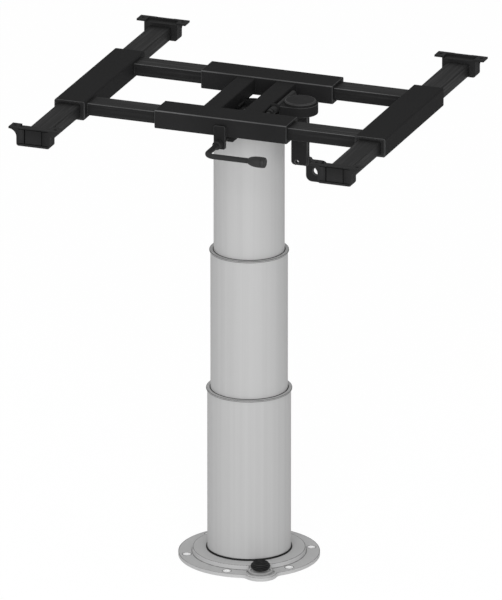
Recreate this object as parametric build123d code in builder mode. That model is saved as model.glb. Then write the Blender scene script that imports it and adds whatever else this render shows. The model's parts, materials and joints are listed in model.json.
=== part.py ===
import os
from math import cos, radians, sin

from build123d import *

# Three-stage lifting column with a round floor plate, a foot button and a sliding table frame.
# Millimetres, +Z up. The origin is on the floor, in the axis of the column.

# Floor plate
flange_radius = 110
flange_height = 5.4
disc_radius = 88
disc_height = 12.5
disc_foot_fillet = 2
plate_edge_fillet = 1
floor_height = 8.5
screw_circle_radius = 98
screw_hole_count = 6
screw_hole_angle = 30
screw_hole_radius = 3.25
screw_countersink_radius = 6

# Foot button on the ear of the floor plate
button_distance = 102
button_angle = -59.4
ear_radius = 25.4
ear_blend = 14
button_travel = 2.5
housing_radius = 22
housing_top = 10
housing_step = 1.6
housing_step_width = 2.5
housing_ceiling = 7
housing_pocket_clearance = 0.3
well_floor = 8.3
button_radius = 15.5
button_waist_radius = 13.6
button_top_radius = 12.5
button_bottom = 11.2
button_top = 23.2
button_rib_count = 4
button_rib_taper = 0.5
button_waist_taper = 0.4
button_rib_rise = 0.45
button_crown_height = 3
button_edge_chamfer = 1.5
button_clearance = 0.4
plunger_radius = 3
plunger_clearance = 0.05
plunger_gap = 0.35
housing_screw_offset = 19
housing_screw_radius = 1.5
housing_screw_head_radius = 2.2
housing_screw_angle = 80
housing_screw_length = 5
housing_screw_head_height = 1.2
housing_screw_head_clearance = 0.2
seal_height = 1
seal_width = 2

# Release rocker under the floor plate
rocker_channel_width = 12
rocker_channel_height = 6.5
rocker_width = 9
rocker_bottom = 3
rocker_thickness = 2.5
rocker_pivot_distance = 50
rocker_pivot_height = 4.5
rocker_hub_radius = 3
rocker_pin_radius = 1.5
rocker_pin_length = 20
rocker_pin_clearance = 0.05
rocker_end_overhang = 4
valve_pin_radius = 2.5
valve_pin_length = 5.5

# Column tubes
lower_tube_radius = 65
middle_tube_radius = 60
upper_tube_radius = 55
tube_wall = 3
lower_tube_top = 273.3
middle_tube_top = 499.6
upper_tube_top = 700
middle_tube_bottom = 224
upper_tube_bottom = 456
collar_lip_height = 2.6
lower_collar_overhang = 1.8
middle_collar_overhang = 1.7
collar_sleeve_length = 24
collar_edge_fillet = 0.8
guide_length = 19
guide_clearance = 0.08

# Telescopic gas strut in the column
strut_cylinder_radius = 20
strut_cylinder_top = 245
strut_stage_radius = 16
strut_stage_bottom = 224
strut_stage_top = 466
strut_rod_radius = 8
strut_rod_bottom = 434
strut_rod_seat = 10
strut_wall = 2.5
strut_floor = 4
gland_height = 6
gland_cap = 3
gland_clearance = 0.05

# Swivel head
head_plug_length = 18
head_flange_height = 6
head_plug_wall = 6
strut_boss_radius = 22
drum_radius = 35
swivel_washer_height = 2
swivel_washer_clearance = 0.3
swivel_gap = 0.05
swivel_pin_radius = 12
swivel_plate_radius = 55
swivel_plate_thickness = 7.5
swivel_ledge = 3.5
skirt_radius = 50
skirt_wall = 10
skirt_space = 14
drum_top_gap = 2
retainer_radius = 15.5
retainer_recess_clearance = 0.5
retainer_sink = 0.4
retainer_screw_radius = 5
retainer_screw_head_radius = 8.4
retainer_screw_length = 20
retainer_socket_depth = 3

# Table frame
sleeve_width = 50
sleeve_height = 30
sleeve_wall = 2.5
sleeve_corner = 3
sleeve_inner_corner = 1
bar_width = 35
bar_height = 20
bar_wall = 2
bar_corner = 2
bar_inner_corner = 0.8
cross_offset = 101
cross_sleeve_length = 217
rail_offset = 247
rail_length = 260
glide_length = 25
glide_clearance = 0.3
member_height = 24
member_wall = 2.5
member_top_drop = 2.5
left_member_centre = -33.5
left_member_width = 30
right_member_centre = 32.5
right_member_width = 32
web_position = 20
web_thickness = 3
web_height = 8
stop_pin_radius = 2.5
stop_pin_length = 28
stop_pin_height = 4.5

# End brackets
runner_half_length = 282
bracket_plate_thickness = 3
bracket_body_width = 55
bracket_body_depth = 21
bracket_height = 29.5
bracket_corner = 4
bracket_flange_width = 81
bracket_flange_thickness = 3
bracket_flange_depth = 20
bracket_bridge_depth = 6
bracket_notch_width = 50
bracket_blend = 12.5
bracket_panel_width = 27.8
bracket_panel_recess = 0.8
bracket_lip_height = 5
table_screw_spread = 33
table_screw_hole_radius = 2.75
bracket_screw_radius = 2
bracket_screw_head_radius = 3.6
bracket_screw_head_height = 1.6
bracket_screw_inset = 10

# Crank clamp
spindle_radius = 5
spindle_clearance = 0.05
spindle_inner_end = 50.5
spindle_chamfer = 1
clamp_travel = 0.75
clamp_gap = 0.3
lever_bracket_width = 19
lever_bracket_centre = 0.5
lever_bracket_thickness = 5
lever_bracket_foot = 9.3
lever_bracket_lap = 19
lever_bracket_corner = 3
spindle_block_width = 24
spindle_block_depth = 22
spindle_block_foot = 7.3
shoe_width = 26
shoe_thickness = 19
shoe_height = 10
shoe_window_clearance = 0.4
shoe_ceiling_gap = 0.7
hub_radius = 7
hub_length = 11
hub_gap = 1.2
crank_radius = 4.2
crank_reach = 191
crank_bend = 14
knob_start = 71
knob_end = 99
knob_cap_start = 94
knob_small_radius = 5.6
knob_large_radius = 8.5
knob_socket_depth = 16
knob_mouth_step = 0.8
knob_mouth_length = 1
knob_shoulder = 3
knob_groove_depth = 0.6
knob_groove_width = 0.8
knob_end_chamfer = 2

# Slide brake with its turning handle
cam_position = 84.4
cam_housing_radius = 27.6
cam_housing_rise = 5.5
cam_housing_height = 16
cam_housing_floor = 3
cam_housing_wall = 5.5
cam_housing_left = 59.2
cap_radius = 24.5
cap_height = 4.9
cap_chamfer = 1.5
cam_shaft_radius = 8
cam_shaft_clearance = 0.05
cam_radius = 10
cam_offset = 1.5
cam_clearance = 0.5
cam_height = 10
cam_floor_gap = 0.3
handle_width = 27.6
handle_thickness = 10
handle_gap = 4
handle_length = 81
handle_corner = 6
handle_hole_radius = 2.5
handle_hole_offset = -4
handle_hole_inset = 5
pull_tab_centre = 112
pull_tab_drop = 7
pull_tab_size = 36
pull_tab_corner = 10
pull_tab_thickness = 5
pull_tab_hole_radius = 5.5
pull_stem_width = 10
pull_stem_corner = 3.3
brake_travel = 1.5
brake_rod_radius = 3.6
brake_rod_x = 54.6
brake_rod_rear = 54
brake_rod_drop = 15
brake_rod_bend = 8
brake_pad_width = 12
brake_pad_height = 15
brake_pad_length = 9
brake_pad_gap = 0.1
brake_window_clearance = 0.5
brake_arm_width = 12
brake_arm_thickness = 4
brake_arm_rise = 7
brake_rod_lift = 3
yoke_wall = 4
brake_guide_front = -34
brake_guide_thickness = 5.5
brake_guide_radius = 7
brake_rod_clearance = 0.05
brake_collar_radius = 5.4
brake_collar_thickness = 5
brake_spring_length = 18
brake_spring_slack = 0.3
brake_spring_wire = 0.9
brake_spring_radius = 4.8
brake_spring_turns = 6

# How near an edge lies to the place where it is looked for
near = 0.01

# Places worked out from the sizes above
head_flange_top = upper_tube_top + head_flange_height
washer_top = head_flange_top + swivel_washer_height
plate_bottom = washer_top + skirt_space
plate_top = plate_bottom + swivel_plate_thickness
member_bottom = plate_top
member_top = member_bottom + member_height
member_middle = (member_top + member_bottom) / 2
frame_top = member_top + member_top_drop
frame_bottom = frame_top - sleeve_height
frame_middle = frame_top - sleeve_height / 2
member_half_length = cross_offset - sleeve_width / 2
drum_top = plate_bottom - drum_top_gap
skirt_bottom = washer_top + swivel_gap
retainer_top = plate_top - retainer_sink
retainer_bottom = plate_top - (swivel_plate_thickness - swivel_ledge)
bar_half_length = rail_offset - sleeve_width / 2
shoe_rest_radius = drum_radius + clamp_gap + clamp_travel
bracket_front = cross_offset + sleeve_width / 2 + lever_bracket_thickness
bracket_top = frame_top + bracket_flange_thickness
bracket_bottom = bracket_top - bracket_height
spindle_height = plate_bottom - shoe_ceiling_gap - shoe_height / 2
cam_housing_bottom = member_bottom + cam_housing_rise
cam_housing_top = cam_housing_bottom + cam_housing_height
cam_bottom = cam_housing_bottom + cam_housing_floor + cam_floor_gap
brake_arm_bottom = cam_housing_bottom + cam_housing_floor + brake_arm_rise - brake_arm_thickness / 2
brake_arm_middle = brake_arm_bottom + brake_arm_thickness / 2
brake_rod_z = brake_arm_middle + brake_rod_lift
right_outer_face = right_member_centre + right_member_width / 2
pad_middle = brake_rod_z + brake_rod_radius - brake_pad_height / 2
ear_direction = (cos(radians(button_angle)), sin(radians(button_angle)), 0)
ear_centre = (button_distance * ear_direction[0], button_distance * ear_direction[1])
ear_plane = Plane(origin=(0, 0, 0), x_dir=ear_direction, z_dir=(0, 0, 1))

os.makedirs("parts", exist_ok=True)


def save(piece, name):
    piece.label = name
    export_step(piece, f"parts/{name}.step")


def ring(inner_radius, outer_radius, bottom, top):
    """A plain ring round the column's axis."""
    with BuildPart() as made:
        with BuildSketch(Plane.XY.offset(bottom)):
            Circle(outer_radius)
            Circle(inner_radius, mode=Mode.SUBTRACT)
        extrude(amount=top - bottom)
    return made


def box_tube(plane, width, height, wall, corner, inner_corner, half_length):
    """A rectangular tube with rounded corners, centred on the plane it crosses."""
    with BuildPart() as made:
        with BuildSketch(plane):
            RectangleRounded(width, height, corner)
            RectangleRounded(width - 2 * wall, height - 2 * wall, inner_corner, mode=Mode.SUBTRACT)
        extrude(amount=half_length, both=True)
    return made


# Floor plate
with BuildPart() as base_plate:
    with BuildSketch():
        Circle(flange_radius)
        with Locations(ear_centre):
            Circle(ear_radius)
    extrude(amount=flange_height)
    ear_corners = base_plate.edges().filter_by(Axis.Z).filter_by(
        lambda e: abs(e.center().X**2 + e.center().Y**2 - flange_radius**2) < 1
        and abs((Vector(*ear_centre) - Vector(e.center().X, e.center().Y)).length - ear_radius) < near
    )
    fillet(ear_corners, ear_blend)
    with BuildSketch(Plane.XY.offset(flange_height)):
        Circle(disc_radius)
    extrude(amount=disc_height - flange_height)
    foot = base_plate.edges().filter_by(GeomType.CIRCLE).filter_by(
        lambda e: abs(e.radius - disc_radius) < near and abs(e.center().Z - flange_height) < near
    )
    fillet(foot, disc_foot_fillet)
    rim = base_plate.edges().filter_by(GeomType.CIRCLE).filter_by(
        lambda e: abs(e.radius - disc_radius) < near and abs(e.center().Z - disc_height) < near
    )
    fillet(rim, plate_edge_fillet)
    with BuildSketch(Plane.XY.offset(flange_height)):
        with Locations(ear_centre):
            Circle(housing_radius + housing_pocket_clearance)
    extrude(amount=disc_height, mode=Mode.SUBTRACT)
    with BuildSketch(Plane.XY.offset(floor_height)):
        Circle(lower_tube_radius)
    extrude(amount=disc_height, mode=Mode.SUBTRACT)
    with BuildSketch(ear_plane):
        with Locations((button_distance / 2, 0)):
            SlotCenterToCenter(button_distance, rocker_channel_width)
    extrude(amount=rocker_channel_height, mode=Mode.SUBTRACT)
    with BuildSketch(ear_plane):
        with Locations((rocker_pivot_distance / 2, 0)):
            Rectangle(rocker_pivot_distance + 3 * rocker_hub_radius, rocker_channel_width)
        Circle(rocker_channel_width / 2)
    extrude(amount=floor_height, mode=Mode.SUBTRACT)
    pin_plane = Plane(origin=ear_plane.from_local_coords((rocker_pivot_distance, 0, rocker_pivot_height)),
                      x_dir=(0, 0, 1), z_dir=ear_plane.y_dir)
    with BuildSketch(pin_plane):
        Circle(rocker_pin_radius)
    extrude(amount=rocker_pin_length / 2, both=True, mode=Mode.SUBTRACT)
    with Locations(Plane.XY.offset(flange_height)):
        with PolarLocations(screw_circle_radius, screw_hole_count, start_angle=screw_hole_angle):
            CounterSinkHole(screw_hole_radius, screw_countersink_radius)
    with BuildSketch(Plane(origin=(*ear_centre, flange_height), x_dir=ear_direction, z_dir=(0, 0, 1))):
        with PolarLocations(housing_screw_offset, 2, start_angle=housing_screw_angle):
            Circle(housing_screw_radius)
    extrude(amount=housing_step - housing_screw_length, mode=Mode.SUBTRACT)
save(base_plate.part, "base_plate")

foot_seal = ring(lower_tube_radius, lower_tube_radius + seal_width, disc_height, disc_height + seal_height)
save(foot_seal.part, "foot_seal")

# Foot button and the release gear under it
housing_plane = Plane(origin=ear_plane.from_local_coords((button_distance, 0, flange_height)),
                      x_dir=ear_direction, z_dir=(0, 0, 1))
with BuildPart() as button_housing:
    with BuildSketch(housing_plane):
        Circle(housing_radius)
    extrude(amount=housing_step)
    with BuildSketch(housing_plane.offset(housing_step)):
        Circle(housing_radius - housing_step_width)
    extrude(amount=housing_top - flange_height - housing_step)
    fillet(button_housing.faces().sort_by(Axis.Z)[-1].edges(), collar_edge_fillet)
    with BuildSketch(housing_plane.offset(well_floor - flange_height)):
        Circle(button_radius + button_clearance)
    extrude(amount=housing_top, mode=Mode.SUBTRACT)
    with BuildSketch(ear_plane.offset(flange_height)):
        with Locations((button_distance / 2, 0)):
            SlotCenterToCenter(button_distance, rocker_channel_width)
    extrude(amount=housing_ceiling - flange_height, mode=Mode.SUBTRACT)
    with BuildSketch(housing_plane):
        Circle(plunger_radius + plunger_clearance)
        with PolarLocations(housing_screw_offset, 2, start_angle=housing_screw_angle):
            Circle(housing_screw_radius)
    extrude(amount=housing_top, mode=Mode.SUBTRACT)
    with BuildSketch(housing_plane.offset(housing_step)):
        with PolarLocations(housing_screw_offset, 2, start_angle=housing_screw_angle):
            Circle(housing_screw_head_radius + housing_screw_head_clearance)
    extrude(amount=housing_top, mode=Mode.SUBTRACT)
save(button_housing.part, "button_housing")

with BuildPart() as button_screws:
    with BuildSketch(housing_plane.offset(housing_step)):
        with PolarLocations(housing_screw_offset, 2, start_angle=housing_screw_angle):
            Circle(housing_screw_head_radius)
    extrude(amount=housing_screw_head_height)
    with BuildSketch(housing_plane.offset(housing_step)):
        with PolarLocations(housing_screw_offset, 2, start_angle=housing_screw_angle):
            Circle(housing_screw_radius)
    extrude(amount=-housing_screw_length)
save(button_screws.part, "button_screws")

button_axis = ear_plane.from_local_coords((button_distance, 0, 0))
button_profile_plane = Plane(origin=button_axis, x_dir=(1, 0, 0), z_dir=(0, -1, 0))
rib_pitch = (button_top - button_bottom - button_crown_height) / button_rib_count
with BuildPart() as foot_button:
    with BuildSketch(button_profile_plane):
        with BuildLine():
            waist = button_waist_radius
            low = button_bottom
            Line((0, low), (waist, low))
            for rib in range(button_rib_count):
                crest = button_radius - rib * button_rib_taper
                next_waist = waist - button_waist_taper
                Polyline((waist, low), (crest, low + rib_pitch * button_rib_rise),
                         (next_waist, low + rib_pitch))
                waist = next_waist
                low += rib_pitch
            Polyline(
                (waist, low),
                (button_top_radius, button_top - button_edge_chamfer),
                (button_top_radius - button_edge_chamfer, button_top),
                (0, button_top),
                (0, button_bottom),
            )
        make_face()
    revolve(axis=Axis(button_axis, (0, 0, 1)))
save(foot_button.part, "foot_button")

rocker_top = rocker_bottom + rocker_thickness
with BuildPart() as button_plunger:
    with BuildSketch(Plane(origin=(*ear_centre, rocker_top + plunger_gap), z_dir=(0, 0, 1))):
        Circle(plunger_radius)
    extrude(amount=button_bottom - rocker_top - plunger_gap)
save(button_plunger.part, "button_plunger")

with BuildPart() as release_rocker:
    with BuildSketch(ear_plane.offset(rocker_bottom)):
        with Locations((button_distance / 2, 0)):
            SlotCenterToCenter(button_distance - rocker_end_overhang, rocker_width)
    extrude(amount=rocker_thickness)
    with BuildSketch(pin_plane):
        Circle(rocker_hub_radius)
    extrude(amount=rocker_width / 2, both=True)
    with BuildSketch(pin_plane):
        Circle(rocker_pin_radius + rocker_pin_clearance)
    extrude(amount=rocker_width, both=True, mode=Mode.SUBTRACT)
save(release_rocker.part, "release_rocker")

with BuildPart() as rocker_pin:
    with BuildSketch(pin_plane):
        Circle(rocker_pin_radius)
    extrude(amount=rocker_pin_length / 2, both=True)
save(rocker_pin.part, "rocker_pin")

with BuildPart() as valve_pin:
    with BuildSketch(Plane.XY.offset(rocker_top + plunger_gap)):
        Circle(valve_pin_radius)
    extrude(amount=valve_pin_length)
save(valve_pin.part, "valve_pin")

# Column tubes, collars and guides
stages = [
    ("lower", lower_tube_radius, floor_height, lower_tube_top, lower_collar_overhang, middle_tube_radius),
    ("middle", middle_tube_radius, middle_tube_bottom, middle_tube_top, middle_collar_overhang,
     upper_tube_radius),
    ("upper", upper_tube_radius, upper_tube_bottom, upper_tube_top, None, None),
]
for name, radius, bottom, top, overhang, inner_stage_radius in stages:
    tube = ring(radius - tube_wall, radius, bottom, top)
    save(tube.part, f"{name}_tube")
    if overhang is None:
        continue
    bore = inner_stage_radius + guide_clearance
    with BuildPart() as collar:
        with BuildSketch(Plane.XY.offset(top)):
            Circle(radius + overhang)
        extrude(amount=collar_lip_height)
        fillet(collar.edges().filter_by(GeomType.CIRCLE), collar_edge_fillet)
        with BuildSketch(Plane.XY.offset(top)):
            Circle(radius - tube_wall)
        extrude(amount=-collar_sleeve_length)
        with BuildSketch(Plane.XY.offset(top + collar_lip_height)):
            Circle(bore)
        extrude(amount=-2 * (collar_lip_height + collar_sleeve_length), mode=Mode.SUBTRACT)
    save(collar.part, f"{name}_collar")

guides = [
    ("middle", middle_tube_radius, middle_tube_bottom, lower_tube_radius),
    ("upper", upper_tube_radius, upper_tube_bottom, middle_tube_radius),
]
for name, radius, bottom, outer_stage_radius in guides:
    guide_radius = outer_stage_radius - tube_wall - guide_clearance
    guide = ring(radius, guide_radius, bottom, bottom + guide_length)
    save(guide.part, f"{name}_guide")

# Telescopic gas strut
with BuildPart() as strut_cylinder:
    with BuildSketch(Plane.XY.offset(floor_height)):
        Circle(strut_cylinder_radius)
    extrude(amount=strut_cylinder_top - floor_height)
    with BuildSketch(Plane.XY.offset(strut_cylinder_top)):
        Circle(strut_cylinder_radius - strut_wall)
    extrude(amount=floor_height + strut_floor - strut_cylinder_top, mode=Mode.SUBTRACT)
    with BuildSketch(Plane.XY.offset(floor_height)):
        Circle(valve_pin_radius + gland_clearance)
    extrude(amount=strut_floor, mode=Mode.SUBTRACT)
save(strut_cylinder.part, "strut_cylinder")

with BuildPart() as strut_stage:
    with BuildSketch(Plane.XY.offset(strut_stage_bottom)):
        Circle(strut_stage_radius)
    extrude(amount=strut_stage_top - strut_stage_bottom)
    with BuildSketch(Plane.XY.offset(strut_stage_top)):
        Circle(strut_stage_radius - strut_wall)
    extrude(amount=strut_stage_bottom + strut_floor - strut_stage_top, mode=Mode.SUBTRACT)
save(strut_stage.part, "strut_stage")

glands = [
    ("cylinder_gland", strut_cylinder_radius, strut_cylinder_top, strut_stage_radius),
    ("stage_gland", strut_stage_radius, strut_stage_top, strut_rod_radius),
]
for name, radius, top, rod_radius in glands:
    with BuildPart() as gland:
        with BuildSketch(Plane.XY.offset(top)):
            Circle(radius)
        extrude(amount=gland_cap)
        with BuildSketch(Plane.XY.offset(top)):
            Circle(radius - strut_wall)
        extrude(amount=-gland_height)
        with BuildSketch(Plane.XY.offset(top - gland_height)):
            Circle(rod_radius + gland_clearance)
        extrude(amount=gland_height + gland_cap, mode=Mode.SUBTRACT)
    save(gland.part, name)

with BuildPart() as strut_rod:
    with BuildSketch(Plane.XY.offset(strut_rod_bottom)):
        Circle(strut_rod_radius)
    extrude(amount=upper_tube_top - head_plug_length + strut_rod_seat - strut_rod_bottom)
save(strut_rod.part, "strut_rod")

# Swivel head on the upper tube
plug_bottom = upper_tube_top - head_plug_length
plug_radius = upper_tube_radius - tube_wall
with BuildPart() as column_head:
    with BuildSketch(Plane.XZ):
        with BuildLine():
            Polyline(
                (0, plug_bottom),
                (strut_boss_radius, plug_bottom),
                (strut_boss_radius, upper_tube_top - head_flange_height),
                (plug_radius - head_plug_wall, upper_tube_top - head_flange_height),
                (plug_radius - head_plug_wall, plug_bottom),
                (plug_radius, plug_bottom),
                (plug_radius, upper_tube_top),
                (upper_tube_radius, upper_tube_top),
                (upper_tube_radius, head_flange_top),
                (drum_radius, head_flange_top),
                (drum_radius, drum_top),
                (swivel_pin_radius, drum_top),
                (swivel_pin_radius, retainer_bottom),
                (0, retainer_bottom),
                (0, plug_bottom),
            )
        make_face()
    revolve(axis=Axis.Z)
    with BuildSketch(Plane.XY.offset(plug_bottom)):
        Circle(strut_rod_radius)
    extrude(amount=strut_rod_seat, mode=Mode.SUBTRACT)
    with BuildSketch(Plane.XY.offset(retainer_bottom)):
        Circle(retainer_screw_radius)
    extrude(amount=-retainer_screw_length, mode=Mode.SUBTRACT)
save(column_head.part, "column_head")

swivel_washer = ring(drum_radius + swivel_washer_clearance, upper_tube_radius, head_flange_top, washer_top)
save(swivel_washer.part, "swivel_washer")

screw_cone_height = retainer_screw_head_radius - retainer_screw_radius
retainer_thickness = retainer_top - retainer_bottom
with BuildPart() as retaining_washer:
    with BuildSketch(Plane.XY.offset(retainer_bottom + swivel_gap)):
        Circle(retainer_radius)
    extrude(amount=retainer_thickness - swivel_gap)
    with Locations(Plane.XY.offset(retainer_top)):
        CounterSinkHole(retainer_screw_radius, retainer_screw_head_radius)
save(retaining_washer.part, "retaining_washer")

with BuildPart() as retaining_screw:
    with BuildSketch(Plane.XZ):
        with BuildLine():
            Polyline(
                (0, retainer_bottom - retainer_screw_length),
                (retainer_screw_radius, retainer_bottom - retainer_screw_length),
                (retainer_screw_radius, retainer_top - screw_cone_height),
                (retainer_screw_head_radius, retainer_top),
                (0, retainer_top),
                (0, retainer_bottom - retainer_screw_length),
            )
        make_face()
    revolve(axis=Axis.Z)
    with BuildSketch(Plane.XY.offset(retainer_top)):
        RegularPolygon(retainer_screw_radius / 2, 6)
    extrude(amount=-retainer_socket_depth, mode=Mode.SUBTRACT)
save(retaining_screw.part, "retaining_screw")

with BuildPart() as swivel_plate:
    with BuildSketch(Plane.XY.offset(plate_bottom)):
        Circle(swivel_plate_radius)
    extrude(amount=swivel_plate_thickness)
    with BuildSketch(Plane.XY.offset(skirt_bottom)):
        Circle(skirt_radius)
    extrude(amount=plate_bottom - skirt_bottom)
    with BuildSketch(Plane.XY.offset(skirt_bottom)):
        Circle(skirt_radius - skirt_wall)
    extrude(amount=plate_bottom - skirt_bottom, mode=Mode.SUBTRACT)
    with BuildSketch(Plane.XY.offset(plate_bottom)):
        Circle(swivel_pin_radius + swivel_gap)
    extrude(amount=swivel_plate_thickness, mode=Mode.SUBTRACT)
    with BuildSketch(Plane.XY.offset(retainer_bottom)):
        Circle(retainer_radius + retainer_recess_clearance)
    extrude(amount=swivel_plate_thickness, mode=Mode.SUBTRACT)
    with BuildSketch(Plane.XZ.offset(skirt_radius)):
        with Locations((0, spindle_height)):
            Rectangle(shoe_width + 2 * shoe_window_clearance, shoe_height + 2 * shoe_window_clearance)
    extrude(amount=-skirt_radius, mode=Mode.SUBTRACT)
save(swivel_plate.part, "swivel_plate")

# Table frame: cross sleeves, members and their glides
cross_glides = []
for name, side in (("front", -1), ("rear", 1)):
    plane = Plane(origin=(0, side * cross_offset, frame_middle), x_dir=(0, 1, 0), z_dir=(1, 0, 0))
    sleeve = box_tube(plane, sleeve_width, sleeve_height, sleeve_wall, sleeve_corner,
                      sleeve_inner_corner, cross_sleeve_length / 2)
    if side < 0:
        with BuildPart() as sleeve_cut:
            add(sleeve.part)
            with BuildSketch(Plane(origin=(brake_rod_x, -member_half_length, pad_middle),
                                   x_dir=(1, 0, 0), z_dir=(0, -1, 0))):
                Rectangle(brake_pad_width + 2 * brake_window_clearance,
                          brake_pad_height + 2 * brake_window_clearance)
            extrude(amount=2 * sleeve_wall, mode=Mode.SUBTRACT)
        sleeve = sleeve_cut
    save(sleeve.part, f"{name}_cross_sleeve")
    bar = box_tube(plane, bar_width, bar_height, bar_wall, bar_corner, bar_inner_corner, bar_half_length)
    save(bar.part, f"{name}_cross_bar")
    for end in (-1, 1):
        centre = end * (cross_sleeve_length - glide_length) / 2
        cross_glides.append(Plane(origin=(centre, side * cross_offset, frame_middle),
                                  x_dir=(0, 1, 0), z_dir=(1, 0, 0)))


def glide_group(planes):
    """Plastic bushes between a sleeve and the bar that slides in it."""
    with BuildPart() as made:
        for plane in planes:
            with BuildSketch(plane):
                RectangleRounded(sleeve_width - 2 * sleeve_wall, sleeve_height - 2 * sleeve_wall,
                                 sleeve_inner_corner)
                RectangleRounded(bar_width + 2 * glide_clearance, bar_height + 2 * glide_clearance,
                                 bar_corner, mode=Mode.SUBTRACT)
            extrude(amount=glide_length / 2, both=True)
    return made


save(glide_group(cross_glides).part, "cross_glides")

members = [
    ("left", left_member_centre, left_member_width),
    ("right", right_member_centre, right_member_width),
]
for name, centre, width in members:
    member = box_tube(Plane(origin=(centre, 0, member_middle), x_dir=(1, 0, 0), z_dir=(0, -1, 0)),
                      width, member_height, member_wall, bar_corner, bar_inner_corner, member_half_length)
    save(member.part, f"{name}_member")

left_inner_face = left_member_centre + left_member_width / 2
right_inner_face = right_member_centre - right_member_width / 2
with BuildPart() as cross_web:
    with BuildSketch(Plane.XY.offset(plate_top)):
        with Locations(((left_inner_face + right_inner_face) / 2, web_position)):
            Rectangle(right_inner_face - left_inner_face, web_thickness)
    extrude(amount=web_height)
    pin_start = (left_inner_face + stop_pin_radius, web_position, plate_top + stop_pin_height)
    with BuildSketch(Plane(origin=pin_start, x_dir=(1, 0, 0), z_dir=(0, -1, 0))):
        Circle(stop_pin_radius)
    extrude(amount=stop_pin_length)
save(cross_web.part, "cross_web")

# Side rails and the runners in them
rail_glides = []
for name, side in (("left", -1), ("right", 1)):
    plane = Plane(origin=(side * rail_offset, 0, frame_middle), x_dir=(1, 0, 0), z_dir=(0, -1, 0))
    rail = box_tube(plane, sleeve_width, sleeve_height, sleeve_wall, sleeve_corner,
                    sleeve_inner_corner, rail_length / 2)
    save(rail.part, f"{name}_rail")
    runner = box_tube(plane, bar_width, bar_height, bar_wall, bar_corner, bar_inner_corner,
                      runner_half_length)
    save(runner.part, f"{name}_runner")
    for end in (-1, 1):
        rail_glides.append(plane.offset(end * (rail_length - glide_length) / 2))
save(glide_group(rail_glides).part, "rail_glides")


def end_bracket(rail_side, end):
    """One end bracket, made at +Y and mirrored for the front."""
    outer_face = runner_half_length + bracket_plate_thickness
    centre = rail_side * rail_offset
    body_height = bracket_top - bracket_bottom
    profile = Plane(origin=(centre, outer_face, bracket_bottom), x_dir=(1, 0, 0), z_dir=(0, -1, 0))
    with BuildPart() as made:
        with BuildSketch(profile) as plate:
            with Locations((0, body_height / 2)):
                Rectangle(bracket_body_width, body_height)
            with Locations((0, body_height - bracket_flange_thickness / 2)):
                Rectangle(bracket_flange_width, bracket_flange_thickness)
            inner_corners = plate.vertices().filter_by(
                lambda v: abs(abs(v.X) - bracket_body_width / 2) < near
                and abs(v.Y - (body_height - bracket_flange_thickness)) < near
            )
            fillet(inner_corners, bracket_blend)
            fillet(plate.vertices().group_by(Axis.Y)[0], bracket_corner)
        extrude(amount=bracket_plate_thickness)
        with BuildSketch(profile.offset(bracket_plate_thickness)) as body:
            with Locations((0, (body_height - bracket_flange_thickness) / 2)):
                Rectangle(bracket_body_width, body_height - bracket_flange_thickness)
            fillet(body.vertices().group_by(Axis.Y)[0], bracket_corner)
        extrude(amount=bracket_body_depth - bracket_plate_thickness)
        with BuildSketch(Plane.XY.offset(frame_top)):
            with Locations((centre, outer_face - bracket_flange_depth / 2)):
                Rectangle(bracket_flange_width, bracket_flange_depth)
            with Locations((centre, outer_face - bracket_flange_depth / 2 - bracket_bridge_depth)):
                Rectangle(bracket_notch_width, bracket_flange_depth, mode=Mode.SUBTRACT)
        extrude(amount=bracket_flange_thickness)
        with BuildSketch(profile.offset(bracket_plate_thickness)):
            with Locations((0, frame_middle - bracket_bottom)):
                RectangleRounded(bar_width, bar_height, bar_corner)
        extrude(amount=bracket_body_depth, mode=Mode.SUBTRACT)
        with BuildSketch(profile):
            with Locations((0, (body_height + bracket_lip_height) / 2)):
                Rectangle(bracket_panel_width, body_height - bracket_lip_height)
        extrude(amount=bracket_panel_recess, mode=Mode.SUBTRACT)
        with Locations(Plane(origin=(centre, outer_face - bracket_flange_depth / 2, bracket_top))):
            with Locations((-table_screw_spread, 0), (table_screw_spread, 0)):
                Hole(table_screw_hole_radius, depth=bracket_flange_thickness)
        for side in (-1, 1):
            seat = Plane(origin=(centre + side * bracket_body_width / 2, outer_face - bracket_screw_inset,
                                 frame_middle), x_dir=(0, 1, 0), z_dir=(-side, 0, 0))
            with BuildSketch(seat):
                Circle(bracket_screw_head_radius + housing_screw_head_clearance)
            extrude(amount=bracket_screw_head_height, mode=Mode.SUBTRACT)
            with BuildSketch(seat):
                Circle(bracket_screw_radius)
            extrude(amount=(bracket_body_width - bar_width) / 2, mode=Mode.SUBTRACT)
    if end > 0:
        return made.part
    return made.part.mirror(Plane.XZ)


def bracket_screws(rail_side):
    """The screws that clamp both brackets of one runner from their sides."""
    outer_face = runner_half_length + bracket_plate_thickness
    with BuildPart() as made:
        for end in (-1, 1):
            for side in (-1, 1):
                seat = Plane(origin=(rail_side * rail_offset + side * bracket_body_width / 2,
                                     end * (outer_face - bracket_screw_inset), frame_middle),
                             x_dir=(0, 1, 0), z_dir=(-side, 0, 0))
                with BuildSketch(seat):
                    Circle(bracket_screw_head_radius)
                extrude(amount=bracket_screw_head_height)
                with BuildSketch(seat):
                    Circle(bracket_screw_radius)
                extrude(amount=(bracket_body_width - bar_width) / 2)
    return made


for name, side in (("left", -1), ("right", 1)):
    for end_name, end in (("front", -1), ("rear", 1)):
        bracket = end_bracket(side, end)
        save(bracket, f"{name}_{end_name}_bracket")
    save(bracket_screws(side).part, f"{name}_bracket_screws")

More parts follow.
